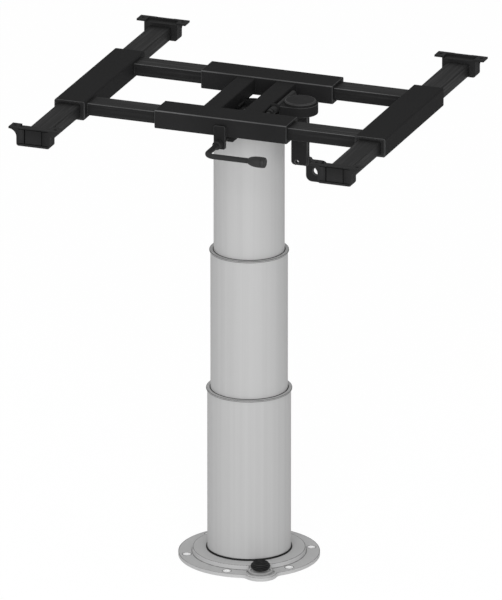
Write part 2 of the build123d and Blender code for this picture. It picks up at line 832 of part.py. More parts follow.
# Crank clamp of the swivel
spindle_plane = Plane(origin=(0, 0, spindle_height), x_dir=(1, 0, 0), z_dir=(0, -1, 0))
lever_bracket_bottom = spindle_height - lever_bracket_foot
lever_bracket_top = frame_bottom + lever_bracket_lap
with BuildPart() as lever_bracket:
    with BuildSketch(Plane.XZ.offset(bracket_front - lever_bracket_thickness)) as face:
        with Locations((lever_bracket_centre, (lever_bracket_top + lever_bracket_bottom) / 2)):
            Rectangle(lever_bracket_width, lever_bracket_top - lever_bracket_bottom)
        fillet(face.vertices(), lever_bracket_corner)
        with Locations((0, spindle_height)):
            Circle(spindle_radius + spindle_clearance, mode=Mode.SUBTRACT)
    extrude(amount=lever_bracket_thickness)
save(lever_bracket.part, "lever_bracket")

block_rear = member_half_length
with BuildPart() as spindle_block:
    with BuildSketch(Plane.XY.offset(frame_bottom)):
        with Locations((0, -block_rear - spindle_block_depth / 2)):
            Rectangle(spindle_block_width, spindle_block_depth)
    extrude(amount=spindle_height - spindle_block_foot - frame_bottom)
    fillet(spindle_block.edges().filter_by(Axis.Y).group_by(Axis.Z)[0], lever_bracket_corner)
    with BuildSketch(spindle_plane.offset(block_rear)):
        Circle(spindle_radius + spindle_clearance)
    extrude(amount=spindle_block_depth, mode=Mode.SUBTRACT)
save(spindle_block.part, "spindle_block")

with BuildPart() as clamp_shoe:
    with BuildSketch(Plane.XY.offset(spindle_height - shoe_height / 2)):
        with Locations((0, -spindle_inner_end + shoe_thickness / 2)):
            Rectangle(shoe_width, shoe_thickness)
    extrude(amount=shoe_height)
    with BuildSketch(Plane.XY.offset(spindle_height - shoe_height / 2)):
        Circle(shoe_rest_radius)
    extrude(amount=shoe_height, mode=Mode.SUBTRACT)
save(clamp_shoe.part, "clamp_shoe")

hub_rear = bracket_front + hub_gap
with BuildPart() as clamp_spindle:
    with BuildSketch(spindle_plane.offset(spindle_inner_end)):
        Circle(spindle_radius)
    extrude(amount=hub_rear - spindle_inner_end)
    with BuildSketch(spindle_plane.offset(hub_rear)):
        Circle(hub_radius)
    extrude(amount=hub_length)
    chamfer(clamp_spindle.faces().sort_by(Axis.Y)[0].edges(), spindle_chamfer)
save(clamp_spindle.part, "clamp_spindle")

hub_front = hub_rear + hub_length
with BuildPart() as crank_rod:
    with BuildLine():
        FilletPolyline(
            (0, -hub_front, spindle_height),
            (0, -crank_reach, spindle_height),
            (knob_start + knob_socket_depth, -crank_reach, spindle_height),
            radius=crank_bend,
        )
    with BuildSketch(spindle_plane.offset(hub_front)):
        Circle(crank_radius)
    sweep()
save(crank_rod.part, "crank_rod")

knob_plane = Plane(origin=(0, -crank_reach, spindle_height), x_dir=(1, 0, 0), z_dir=(0, -1, 0))
with BuildPart() as lever_knob:
    with BuildSketch(knob_plane):
        with BuildLine():
            Polyline((knob_start, crank_radius), (knob_start, knob_small_radius - knob_mouth_step),
                     (knob_start + knob_mouth_length, knob_small_radius))
            Spline((knob_start + knob_mouth_length, knob_small_radius),
                   (knob_cap_start - knob_shoulder, knob_large_radius), tangents=((1, 0), (1, 0)))
            Polyline(
                (knob_cap_start - knob_shoulder, knob_large_radius),
                (knob_cap_start, knob_large_radius),
                (knob_cap_start, knob_large_radius - knob_groove_depth),
                (knob_cap_start + knob_groove_width, knob_large_radius - knob_groove_depth),
                (knob_cap_start + knob_groove_width, knob_large_radius),
                (knob_end - knob_end_chamfer, knob_large_radius),
                (knob_end, knob_large_radius - knob_end_chamfer),
                (knob_end, 0),
                (knob_start + knob_socket_depth, 0),
                (knob_start + knob_socket_depth, crank_radius),
                (knob_start, crank_radius),
            )
        make_face()
    revolve(axis=Axis((0, -crank_reach, spindle_height), (1, 0, 0)))
save(lever_knob.part, "lever_knob")

# Slide brake: housing, cap, handle with its cam, and the spring-loaded rod
cavity_radius = cam_housing_radius - cam_housing_wall
arm_slot_half = brake_arm_width / 2 + brake_travel + brake_window_clearance
with BuildPart() as cam_housing:
    with BuildSketch(Plane.XY.offset(cam_housing_bottom)):
        with Locations((cam_position, 0)):
            Circle(cam_housing_radius)
        with Locations((cam_housing_left - cam_housing_radius, 0)):
            Rectangle(2 * cam_housing_radius, 2 * cam_housing_radius, mode=Mode.SUBTRACT)
        with Locations(((cam_housing_left + cam_position) / 2, 0)):
            Rectangle(cam_position - cam_housing_left, 2 * cam_housing_radius)
    extrude(amount=cam_housing_height)
    with BuildSketch(Plane.XY.offset(cam_housing_bottom)):
        with Locations(((right_outer_face + cam_housing_left) / 2, 0)):
            Rectangle(cam_housing_left - right_outer_face, 2 * cam_housing_radius)
    extrude(amount=cam_housing_floor)
    with BuildSketch(Plane.XY.offset(cam_housing_bottom + cam_housing_floor)):
        with Locations((cam_position, 0)):
            Circle(cavity_radius)
    extrude(amount=cam_housing_height, mode=Mode.SUBTRACT)
    with Locations(Plane.XY.offset(cam_housing_top)):
        with Locations((cam_position, 0)):
            Hole(cam_shaft_radius + cam_shaft_clearance)
    with BuildSketch(Plane.YZ.offset(cam_housing_left)):
        with Locations((brake_travel / 2, brake_arm_middle)):
            Rectangle(2 * arm_slot_half, brake_arm_thickness + 2 * brake_window_clearance)
    extrude(amount=cam_position - cam_housing_left, mode=Mode.SUBTRACT)
save(cam_housing.part, "cam_housing")

with BuildPart() as cam_cap:
    with BuildSketch(Plane.XY.offset(cam_housing_top)):
        with Locations((cam_position, 0)):
            Circle(cap_radius)
    extrude(amount=cap_height)
    chamfer(cam_cap.faces().sort_by(Axis.Z)[-1].edges(), cap_chamfer)
save(cam_cap.part, "cam_cap")

handle_top = cam_housing_bottom - handle_gap
handle_bottom = handle_top - handle_length
pull_tab_height = handle_bottom - pull_tab_drop
pull_stem_x = pull_tab_centre - (pull_tab_size - pull_stem_width) / 2
with BuildPart() as cam_handle:
    with BuildSketch(Plane.XZ) as paddle:
        with Locations((cam_position, (handle_top + handle_bottom) / 2)):
            Rectangle(handle_width, handle_length)
        fillet(paddle.vertices().group_by(Axis.Y)[0], handle_corner)
        with Locations((cam_position + handle_hole_offset, handle_bottom + handle_hole_inset)):
            Circle(handle_hole_radius, mode=Mode.SUBTRACT)
    extrude(amount=handle_thickness / 2, both=True)
    with BuildSketch(Plane.XZ):
        with Locations((pull_tab_centre, pull_tab_height)):
            RectangleRounded(pull_tab_size, pull_tab_size, pull_tab_corner)
            Circle(pull_tab_hole_radius, mode=Mode.SUBTRACT)
        with Locations((pull_stem_x, pull_tab_height + pull_stem_width)):
            RectangleRounded(pull_stem_width, (pull_tab_size + pull_stem_width) / 2, pull_stem_corner)
    extrude(amount=pull_tab_thickness / 2, both=True)
    with BuildSketch(Plane.XY.offset(handle_top)):
        with Locations((cam_position, 0)):
            Circle(cam_shaft_radius)
    extrude(amount=cam_bottom - handle_top)
    with BuildSketch(Plane.XY.offset(cam_bottom)):
        with Locations((cam_position + cam_offset, 0)):
            Circle(cam_radius)
    extrude(amount=cam_height)
save(cam_handle.part, "cam_handle")

pad_face = cross_offset - bar_width / 2 - brake_pad_gap
rod_plane = Plane(origin=(brake_rod_x, 0, brake_rod_z), x_dir=(1, 0, 0), z_dir=(0, -1, 0))
guide_rear = brake_guide_front + brake_guide_thickness
collar_rear = brake_guide_front - brake_spring_length
slot_half_x = cam_radius + cam_offset + cam_clearance
slot_half_y = cam_radius + cam_clearance
with BuildPart() as brake_rod:
    with BuildLine():
        FilletPolyline(
            (brake_rod_x, -pad_face + brake_pad_length, brake_rod_z),
            (brake_rod_x, brake_rod_rear, brake_rod_z),
            (brake_rod_x, brake_rod_rear, brake_rod_z - brake_rod_drop),
            radius=brake_rod_bend,
        )
    with BuildSketch(rod_plane.offset(pad_face - brake_pad_length)):
        Circle(brake_rod_radius)
    sweep()
    with BuildSketch(rod_plane.offset(-collar_rear)):
        Circle(brake_collar_radius)
    extrude(amount=brake_collar_thickness)
    with BuildSketch(Plane.XY.offset(brake_arm_bottom)):
        with Locations(((brake_rod_x + cam_position) / 2, 0)):
            Rectangle(cam_position - brake_rod_x, brake_arm_width)
        with Locations((cam_position, 0)):
            RectangleRounded(2 * (slot_half_x + yoke_wall), 2 * (slot_half_y + yoke_wall), yoke_wall)
            SlotOverall(2 * slot_half_x, 2 * slot_half_y, mode=Mode.SUBTRACT)
    extrude(amount=brake_arm_thickness)
save(brake_rod.part, "brake_rod")

with BuildPart() as brake_pad:
    with BuildSketch(Plane(origin=(brake_rod_x, -pad_face, pad_middle), x_dir=(1, 0, 0), z_dir=(0, -1, 0))):
        Rectangle(brake_pad_width, brake_pad_height)
    extrude(amount=-brake_pad_length)
save(brake_pad.part, "brake_pad")

with BuildPart() as brake_guide:
    with BuildSketch(rod_plane.offset(-guide_rear)):
        Circle(brake_guide_radius)
        with Locations(((right_outer_face - brake_rod_x) / 2, 0)):
            Rectangle(brake_rod_x - right_outer_face, 2 * brake_guide_radius)
        with Locations((right_outer_face - brake_rod_x - brake_guide_radius / 2, 0)):
            Rectangle(brake_guide_radius, 2 * brake_guide_radius, mode=Mode.SUBTRACT)
        Circle(brake_rod_radius + brake_rod_clearance, mode=Mode.SUBTRACT)
    extrude(amount=brake_guide_thickness)
save(brake_guide.part, "brake_guide")

spring_front = collar_rear + brake_travel + brake_spring_slack
coil_length = brake_guide_front - spring_front - 2 * brake_spring_wire
with BuildPart() as brake_spring:
    with BuildLine():
        coil = Helix(coil_length / brake_spring_turns, coil_length, brake_spring_radius,
                     center=(brake_rod_x, spring_front + brake_spring_wire, brake_rod_z),
                     direction=(0, 1, 0))
    with BuildSketch(Plane(origin=coil @ 0, z_dir=coil % 0)):
        Circle(brake_spring_wire)
    sweep(is_frenet=True)
save(brake_spring.part, "brake_spring")
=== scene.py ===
"""Finishes, modelled details and stage for a lifting column with a sliding table frame."""

import json
from math import cos, pi, radians, sin

import bmesh
import bpy
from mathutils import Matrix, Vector

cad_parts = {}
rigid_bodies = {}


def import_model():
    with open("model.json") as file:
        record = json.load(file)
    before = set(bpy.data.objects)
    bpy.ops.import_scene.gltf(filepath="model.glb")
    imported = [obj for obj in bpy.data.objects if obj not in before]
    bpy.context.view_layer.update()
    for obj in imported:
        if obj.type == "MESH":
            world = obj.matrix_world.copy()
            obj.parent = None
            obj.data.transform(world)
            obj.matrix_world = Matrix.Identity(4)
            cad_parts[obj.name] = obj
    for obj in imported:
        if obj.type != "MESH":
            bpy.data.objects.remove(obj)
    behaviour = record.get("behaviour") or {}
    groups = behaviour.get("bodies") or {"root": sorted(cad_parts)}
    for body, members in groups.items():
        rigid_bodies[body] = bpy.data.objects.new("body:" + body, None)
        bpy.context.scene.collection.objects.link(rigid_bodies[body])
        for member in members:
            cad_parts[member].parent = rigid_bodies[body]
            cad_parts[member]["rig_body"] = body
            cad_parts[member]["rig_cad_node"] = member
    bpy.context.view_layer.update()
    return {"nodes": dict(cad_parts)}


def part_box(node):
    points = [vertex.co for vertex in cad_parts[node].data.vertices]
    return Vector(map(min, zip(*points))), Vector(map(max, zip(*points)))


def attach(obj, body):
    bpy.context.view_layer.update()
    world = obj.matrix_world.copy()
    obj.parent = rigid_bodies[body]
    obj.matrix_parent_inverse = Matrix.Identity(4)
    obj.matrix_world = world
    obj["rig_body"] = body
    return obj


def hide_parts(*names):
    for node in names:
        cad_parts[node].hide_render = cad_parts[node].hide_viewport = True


bl_info = {
    "name": "Lifting Column Dressing",
    "version": (1, 0, 0),
    "blender": (4, 5, 0),
    "location": "View3D > Sidebar > Column",
    "description": "Finishes and modelled details for a lifting column with a sliding table frame",
    "category": "Object",
}

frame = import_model()
nodes = frame["nodes"]

MILLIMETRE = 0.001
# Points that are nearer together than this are one point
HAIR = 0.01 * MILLIMETRE

# Floor plate: radii of the screws' circle, of a countersink, of the raised disc and of the ear
SCREW_CIRCLE = 98 * MILLIMETRE
SCREW_COUNT = 6
COUNTERSINK = 6 * MILLIMETRE
PLATE_DISC = 88 * MILLIMETRE
EAR_RADIUS = 25.4 * MILLIMETRE

# Foot button: height of the rounded crown above its ribs
BUTTON_CROWN = 2.6 * MILLIMETRE

# Edges that are sharper than this are broken, and shading creases there
EDGE_ANGLE = radians(38)

RELIEF_STRENGTH = 0.6

# Stage: the camera's sensor in millimetres, the rest in metres
FLOOR_SIZE = 160
SENSOR_WIDTH = 36
LAMP_DISTANCE = 5
AIM = Vector((0, 0, 0.4179))
AIM_SHIFT = 2.86 * MILLIMETRE

# Name, azimuth and elevation in degrees, share of the lamp power, size in metres
LAMPS = (
    ("main_lamp", 19, 19, 1.0, 3.2),
    ("rear_left_lamp", 258, 38, 0.15, 3.0),
    ("rear_right_lamp", 140, 38, 0.1, 3.0))


def middle(node):
    """The centre of a node's box."""
    low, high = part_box(node)
    return (low + high) / 2


def grey(value):
    """An 8-bit display grey as a linear colour."""
    share = value / 255
    linear = share / 12.92 if share <= 0.04045 else ((share + 0.055) / 1.055) ** 2.4
    return (linear, linear, linear)


# Sizes and colours


def colour_property(name, description, default):
    return bpy.props.FloatVectorProperty(
        name=name, description=description, size=3, subtype="COLOR", min=0, max=1,
        default=default)


def length_property(name, description, millimetres):
    return bpy.props.FloatProperty(
        name=name, description=description, unit="LENGTH", min=0,
        default=millimetres * MILLIMETRE)


def count_property(name, description, default):
    return bpy.props.IntProperty(name=name, description=description, min=1, default=default)


class ColumnColours(bpy.types.PropertyGroup):
    tube: colour_property("Tubes", "Satin paint of the three tubes", grey(197))
    tube_streak: colour_property("Tube streaks", "Drawing lines along the tubes", grey(193))
    floor_plate: colour_property(
        "Floor plate", "Paint of the floor plate and the button housing", grey(200))
    collar: colour_property("Collars", "Moulded collars at the tube mouths", grey(190))
    frame_black: colour_property(
        "Frame", "Powder coat of the table frame", (0.0215, 0.0215, 0.0219))
    bar_black: colour_property(
        "Sliding bars", "Powder coat of the bars that slide", (0.020, 0.020, 0.0203))
    moulded_black: colour_property("Mouldings", "Black moulded parts", (0.019, 0.019, 0.0193))
    # Lighter colour of the broken edges: edge wear and a painted highlight along them
    rubbed_edge: colour_property(
        "Rubbed edges", "Coat that handling has worn thin along the edges",
        (0.065, 0.065, 0.066))
    rubber: colour_property(
        "Rubber", "Rubber of the foot button and the foot seal", (0.007, 0.007, 0.007))


class ColumnDetails(bpy.types.PropertyGroup):
    soft_edge: length_property(
        "Soft edge", "Width of the broken edge on cut and moulded parts", 0.7)
    bead_radius: length_property("Weld bead", "Radius of a weld bead", 1.5)
    bead_pitch: length_property("Weld ripple", "Distance between a weld bead's ripples", 1.1)
    button_ribs: count_property("Button ribs", "Ribs round the foot button", 4)
    spring_wire: length_property("Spring wire", "Radius of the brake spring's wire", 1.15)
    spring_turns: count_property("Spring turns", "Open turns of the brake spring", 4)
    screw_socket: length_property(
        "Screw socket", "Radius of a hexagon socket in a screw head", 1.4)


class ColumnStage(bpy.types.PropertyGroup):
    azimuth: bpy.props.FloatProperty(
        name="Azimuth", description="Camera's turn to the right of the front", subtype="ANGLE",
        default=radians(20.705))
    elevation: bpy.props.FloatProperty(
        name="Elevation", description="Camera's height above the horizon", subtype="ANGLE",
        default=radians(19.471))
    distance: bpy.props.FloatProperty(
        name="Distance", description="Camera's distance, long so that the view is nearly parallel",
        unit="LENGTH", default=36)
    view_height: bpy.props.FloatProperty(
        name="View height", description="Height that the picture covers at the column",
        unit="LENGTH", default=0.92807)
    world_level: bpy.props.FloatProperty(
        name="World level", description="Strength of the even light all round", min=0, default=0.48)
    lamp_power: bpy.props.FloatProperty(
        name="Lamp power", description="Power of the main soft lamp in watts", min=0, default=120)


# Node trees written as expressions


class Wire:
    """A number in a node tree. Python's operators on it add Math nodes."""

    def __init__(self, tree, socket):
        self.tree = tree
        self.socket = socket

    def math(self, operation, first, second):
        node = self.tree.nodes.new("ShaderNodeMath")
        node.operation = operation
        for slot, value in zip(node.inputs, (first, second)):
            if isinstance(value, Wire):
                self.tree.links.new(value.socket, slot)
            else:
                slot.default_value = value
        return Wire(self.tree, node.outputs[0])

    def __add__(self, other):
        return self.math("ADD", self, other)

    def __sub__(self, other):
        return self.math("SUBTRACT", self, other)

    def __rsub__(self, other):
        return self.math("SUBTRACT", other, self)

    def __mul__(self, other):
        return self.math("MULTIPLY", self, other)

    def __gt__(self, edge):
        return self.math("GREATER_THAN", self, edge)

    def __lt__(self, edge):
        return self.math("LESS_THAN", self, edge)

    def __truediv__(self, other):
        return self.math("DIVIDE", self, other)

    def cosine(self):
        return self.math("COSINE", self, 0)

    def sine(self):
        return self.math("SINE", self, 0)

    def root(self):
        return self.math("SQRT", self, 0)

    def rounded(self):
        return self.math("ROUND", self, 0)

    def between(self, low, high):
        """1 where the number lies between two edges, otherwise 0."""
        return (self > low) * (self < high)

    __radd__ = __add__
    __rmul__ = __mul__


def length_of(x, y):
    """Length of a flat vector given by two wires."""
    return (x * x + y * y).root()


class Finish:
    """A material with one shader, whose pattern follows the object's own coordinates."""

    def __init__(self, name, **constants):
        self.material = bpy.data.materials.new(name)
        self.material.use_nodes = True
        self.tree = self.material.node_tree
        self.shader = self.tree.nodes["Principled BSDF"]
        for socket, value in constants.items():
            self.shader.inputs[socket.replace("_", " ")].default_value = value

    def node(self, kind, settings, inputs):
        made = self.tree.nodes.new(kind)
        for name, value in settings.items():
            setattr(made, name, value)
        for name, value in inputs.items():
            self.feed(made.inputs[name], value)
        return made

    def feed(self, slot, value):
        if isinstance(value, Wire):
            self.tree.links.new(value.socket, slot)
        elif isinstance(value, bpy.types.NodeSocket):
            self.tree.links.new(value, slot)
        else:
            slot.default_value = value

    def place(self, stretch):
        """Object coordinates, stretched along an axis where its factor is small."""
        coordinates = self.node("ShaderNodeTexCoord", {}, {})
        return self.node("ShaderNodeMapping", {}, {
            "Vector": coordinates.outputs["Object"], "Scale": stretch}).outputs[0]

    def axes(self):
        """The three object coordinates as numbers."""
        parts = self.node("ShaderNodeSeparateXYZ", {}, {0: self.place((1, 1, 1))})
        return [Wire(self.tree, output) for output in parts.outputs]

    def noise(self, scale, detail=2.0, stretch=(1, 1, 1)):
        made = self.node("ShaderNodeTexNoise", {}, {
            "Vector": self.place(stretch), "Scale": scale, "Detail": detail})
        return Wire(self.tree, made.outputs["Fac"])

    def cells(self, scale):
        made = self.node("ShaderNodeTexVoronoi", {}, {
            "Vector": self.place((1, 1, 1)), "Scale": scale})
        return Wire(self.tree, made.outputs["Distance"])

    def band(self, value, low, high):
        """Stretches the part of a value between low and high to the whole range 0 to 1."""
        made = self.node("ShaderNodeMapRange", {"clamp": True}, {
            "Value": value, "From Min": low, "From Max": high})
        return Wire(self.tree, made.outputs[0])

    def blend(self, factor, first, second):
        made = self.tree.nodes.new("ShaderNodeMix")
        made.data_type = "RGBA"
        self.feed(made.inputs[0], factor)
        for slot, colour in ((made.inputs[6], first), (made.inputs[7], second)):
            self.feed(slot, colour if isinstance(colour, bpy.types.NodeSocket) else (*colour, 1))
        return made.outputs[2]

    def colour(self, value):
        self.feed(self.shader.inputs["Base Color"], value)

    def roughness(self, value):
        self.feed(self.shader.inputs["Roughness"], value)

    def relief(self, height, depth):
        made = self.node("ShaderNodeBump", {}, {
            "Height": height, "Distance": depth, "Strength": RELIEF_STRENGTH})
        self.feed(self.shader.inputs["Normal"], made.outputs[0])

    def clouds(self):
        return self.band(self.noise(14, 3), 0.3, 0.7)

    def orange_peel(self):
        return self.noise(650, 1)

    def flow_marks(self):
        return self.band(self.noise(30, 3, (1, 1, 0.3)), 0.35, 0.65)

    def uneven_shade(self, base, spread):
        """Share of painted shade in a dark line, uneven along it."""
        return base + spread * self.band(self.noise(90, 3), 0.2, 0.6)


def shade(colour, share):
    """A colour made darker or lighter by a share."""
    return tuple(min(1, channel * share) for channel in colour)


def powder_coat(name, colour, specular, variation=0.12):
    """Sprayed and baked paint: orange peel, slow clouds and a few dust nibs."""
    finish = Finish(name, Specular_IOR_Level=specular)
    cloud = finish.clouds()
    peel = finish.orange_peel()
    nibs = finish.band(finish.cells(420), 0.10, 0.02)
    finish.colour(finish.blend(cloud, shade(colour, 1 - variation), shade(colour, 1 + variation)))
    finish.roughness(0.52 + 0.1 * cloud + 0.08 * peel)
    finish.relief(peel + 0.35 * nibs, 0.12 * MILLIMETRE)


def scuffed_coat(name, colour, along):
    """Powder coat on a bar that slides: polished tracks and fine scratches along it."""
    finish = Finish(name, Specular_IOR_Level=0.08)
    tracks = finish.band(finish.noise(260, 2, along), 0.45, 0.75)
    scratches = finish.band(finish.noise(1500, 2, along), 0.62, 0.72)
    polish = 0.5 * tracks + 0.5 * scratches
    finish.colour(finish.blend(polish, shade(colour, 0.85), shade(colour, 1.9)))
    finish.roughness(0.47 - 0.14 * tracks)
    finish.relief(finish.orange_peel() - 0.5 * scratches, 0.08 * MILLIMETRE)


def drawn_tube(name, colour, streak_colour):
    """Satin paint over a drawn tube: fine lines along it that come through the paint."""
    finish = Finish(name, Specular_IOR_Level=0.3)
    along = (1, 1, 0.004)
    fine = finish.noise(900, 2, along)
    broad = finish.band(finish.noise(140, 2, along), 0.35, 0.65)
    peel = finish.noise(800, 1)
    streak = finish.band(0.6 * fine + 0.4 * broad, 0.3, 0.75)
    finish.colour(finish.blend(streak, colour, streak_colour))
    finish.roughness(0.36 + 0.12 * fine)
    finish.relief(0.7 * fine + 0.3 * peel, 0.02 * MILLIMETRE)


def moulding(name, colour, specular, grain_scale=1300):
    """Moulded plastic with a spark-eroded grain and faint flow marks."""
    finish = Finish(name, Specular_IOR_Level=specular)
    grain = finish.cells(grain_scale)
    flow = finish.flow_marks()
    finish.colour(finish.blend(flow, shade(colour, 0.92), shade(colour, 1.1)))
    finish.roughness(0.46 + 0.1 * flow + 0.1 * grain)
    finish.relief(grain, 0.06 * MILLIMETRE)


def sprayed_relief(finish):
    """Orange peel of the sprayed floor plate and button housing."""
    peel = finish.orange_peel()
    finish.roughness(0.5 + 0.1 * peel)
    finish.relief(peel, 0.1 * MILLIMETRE)


def screw_distance(x, y):
    """Distance from the nearest of the floor plate's screws."""
    pitch = 2 * pi / SCREW_COUNT
    first = pitch / 2
    angle = x.math("ARCTAN2", y, x)
    away = angle - (((angle - first) / pitch).rounded() * pitch + first)
    radius = length_of(x, y)
    return length_of(radius * away.cosine() - SCREW_CIRCLE, radius * away.sine())


def floor_plate_paint(name, colour, bare):
    """Powder coat of the floor plate: bare countersinks, and painted shade: a dark ring round each
    countersink and dark lines where a step meets the flat and along the top edges of the disc and
    the flange.
    """
    finish = Finish(name, Specular_IOR_Level=0.3)
    x, y, height = finish.axes()
    radius = length_of(x, y)
    distance = screw_distance(x, y)
    countersink = distance < COUNTERSINK + 0.6 * MILLIMETRE
    lip = (distance < COUNTERSINK + 1.6 * MILLIMETRE) - countersink

    disc_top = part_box("foot_seal")[0].z
    foot = radius.between(PLATE_DISC, PLATE_DISC + 1.6 * MILLIMETRE) * (height < disc_top / 2)
    shoulder = radius.between(PLATE_DISC - 1.5 * MILLIMETRE, PLATE_DISC - 0.6 * MILLIMETRE)
    shoulder = shoulder * (height > disc_top * 0.8)

    button = middle("foot_button")
    ear = length_of(x - button.x, y - button.y)
    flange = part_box("base_plate")[1].x
    rim = 0.1 * MILLIMETRE
    brim = ear.between(EAR_RADIUS - MILLIMETRE, EAR_RADIUS - rim) + (
        (ear > EAR_RADIUS) * (radius < flange - rim))
    brim = brim * (radius > flange - MILLIMETRE) * (height > disc_top / 4)

    # Painted shade: dark lines at the countersinks' rims, at the step's foot and along the top
    # edges
    dark = lip + (foot + shoulder + brim) * finish.uneven_shade(0.45, 0.4)
    painted = finish.blend(finish.clouds(), shade(colour, 0.98), shade(colour, 1.02))
    plate = finish.blend(countersink, painted, bare)
    finish.colour(finish.blend(dark, plate, shade(colour, 0.12)))
    sprayed_relief(finish)


def stepped_paint(name, colour, centre):
    """Powder coat of the button housing, with painted shade: dark lines at its outer edge and at
    its step.
    """
    finish = Finish(name, Specular_IOR_Level=0.3)
    x, y, _ = finish.axes()
    radius = length_of(x - centre.x, y - centre.y)
    low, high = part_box("button_housing")
    outer = (high.x - low.x) / 2
    step = outer - 2.5 * MILLIMETRE
    half = 0.35 * MILLIMETRE
    lines = radius.between(outer - 2 * half, outer - 0.05 * MILLIMETRE) + (
        radius.between(step - half, step + half))
    # Painted shade: dark lines at the housing's outer edge and at its step
    finish.colour(finish.blend(lines * finish.uneven_shade(0.4, 0.35), colour, shade(colour, 0.12)))
    sprayed_relief(finish)


def ribbed_rubber(name, colour, bottom, pitch):
    """Rubber whose rib crests are painted lighter, grey wear and a painted highlight made uneven by
    the bloom, and whose grooves are painted darker, painted shade.
    """
    finish = Finish(name, Specular_IOR_Level=0.3)
    _, _, height = finish.axes()
    crest_highlight = finish.band(((height - bottom) * (2 * pi / pitch) - pi / 2).sine(), 0.2, 1.0)
    bloom = finish.band(finish.noise(160, 4), 0.35, 0.75)
    pores = finish.noise(1800, 2)
    # Crests lighter: wear and a painted highlight; grooves darker: painted shade
    finish.colour(finish.blend(crest_highlight * (0.5 + 0.5 * bloom), shade(colour, 0.6), shade(colour, 7)))
    finish.roughness(0.62 + 0.15 * bloom)
    finish.relief(pores, 0.08 * MILLIMETRE)


def lipped_moulding(name, colour, seat, lip_radius, lip_top):
    """Moulded collar with painted shade along its lip: a dark band at the gap over the tube and a
    dark line along the edge on top.
    """
    finish = Finish(name, Specular_IOR_Level=0.4)
    x, y, height = finish.axes()
    gap = height.between(seat - MILLIMETRE, seat + MILLIMETRE)
    edge = (length_of(x, y) > lip_radius - 0.9 * MILLIMETRE) * (
        height > lip_top - 0.75 * MILLIMETRE)
    grain = finish.cells(1300)
    flow = finish.flow_marks()
    moulded = finish.blend(flow, shade(colour, 0.97), shade(colour, 1.03))
    # Painted shade: a dark band under the lip and a dark line along its top outer edge
    finish.colour(finish.blend(gap * 0.9 + edge * 0.75, moulded, shade(colour, 0.08)))
    finish.roughness(0.46 + 0.1 * flow + 0.1 * grain)
    finish.relief(grain, 0.04 * MILLIMETRE)


def rubber(name, colour):
    """Matt rubber with bloom and a dusty look in places."""
    finish = Finish(name, Specular_IOR_Level=0.3)
    bloom = finish.band(finish.noise(120, 4), 0.45, 0.8)
    pores = finish.noise(1800, 2)
    finish.colour(finish.blend(bloom, colour, shade(colour, 1.8)))
    finish.roughness(0.68 + 0.15 * bloom)
    finish.relief(pores, 0.08 * MILLIMETRE)


def bare_metal(name, colour, roughness, texture_scale):
    """Bare or plated metal with fine machining or casting texture."""
    finish = Finish(name, Metallic=1.0)
    texture = finish.noise(texture_scale, 4)
    stain = finish.band(finish.noise(60, 3), 0.4, 0.7)
    finish.colour(finish.blend(stain, colour, shade(colour, 0.8)))
    finish.roughness(roughness + 0.12 * texture + 0.08 * stain)
    finish.relief(texture, 0.05 * MILLIMETRE)


FINISHES = {
    "tube_paint": ["lower_tube", "middle_tube", "upper_tube"],
    "plate_paint": ["base_plate"],
    "housing_paint": ["button_housing"],
    "lower_collar_moulding": ["lower_collar"],
    "middle_collar_moulding": ["middle_collar"],
    "frame_coat": [
        "front_cross_sleeve", "rear_cross_sleeve", "left_member", "right_member", "cross_web",
        "lever_bracket", "spindle_block", "cam_housing", "brake_guide", "left_rail", "right_rail",
        "swivel_plate"],
    "cross_bar_coat": ["front_cross_bar", "rear_cross_bar"],
    "runner_coat": ["left_runner", "right_runner"],
    "bracket_moulding": [
        "left_front_bracket", "left_rear_bracket", "right_front_bracket", "right_rear_bracket"],
    "glide_moulding": [
        "middle_guide", "upper_guide", "swivel_washer", "retaining_washer", "brake_pad",
        "cylinder_gland", "stage_gland", "button_plunger"],
    "handle_moulding": ["cam_handle", "cam_cap", "cross_glides", "rail_glides"],
    "knob_moulding": ["lever_knob"],
    "button_rubber": ["foot_button"],
    "seal_rubber": ["foot_seal"],
    "crank_black": ["crank_rod", "clamp_spindle"],
    "strut_black": ["strut_cylinder", "strut_stage"],
    "cast_aluminium": ["column_head", "clamp_shoe"],
    "bright_steel": ["strut_rod", "valve_pin", "retaining_screw", "rocker_pin", "button_screws"],
    "zinc_steel": ["release_rocker"],
    "blackened_steel": ["brake_rod", "brake_spring", "left_bracket_screws", "right_bracket_screws"],
}


def finish_named(name):
    return bpy.data.materials[name]


def dress(piece, finish_name, body):
    """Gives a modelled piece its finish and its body."""
    piece.data.materials.clear()
    piece.data.materials.append(finish_named(finish_name))
    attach(piece, body)


# Modelling helpers


def add_primitive(operator, **where):
    """Adds a primitive with nothing else selected, and returns its object."""
    bpy.ops.object.select_all(action="DESELECT")
    operator(**where)
    return bpy.context.object


def select_only(pieces):
    bpy.ops.object.select_all(action="DESELECT")
    for piece in pieces:
        piece.select_set(True)
    bpy.context.view_layer.objects.active = pieces[0]


def select_in_mesh(piece, test, elements):
    """In edit mode, selects only the faces, edges or vertices that pass the test."""
    mode = {"faces": "FACE", "edges": "EDGE", "verts": "VERT"}[elements]
    bpy.ops.mesh.select_mode(type=mode)
    bpy.ops.mesh.select_all(action="DESELECT")
    mesh = bmesh.from_edit_mesh(piece.data)
    for element in getattr(mesh, elements):
        element.select = test(element)
    mesh.select_flush_mode()
    bmesh.update_edit_mesh(piece.data)


def modify(piece, kind, **settings):
    """Adds a modifier and applies it."""
    select_only([piece])
    modifier = piece.modifiers.new(kind.title(), kind)
    for name, value in settings.items():
        setattr(modifier, name, value)
    bpy.ops.object.modifier_apply(modifier=modifier.name)


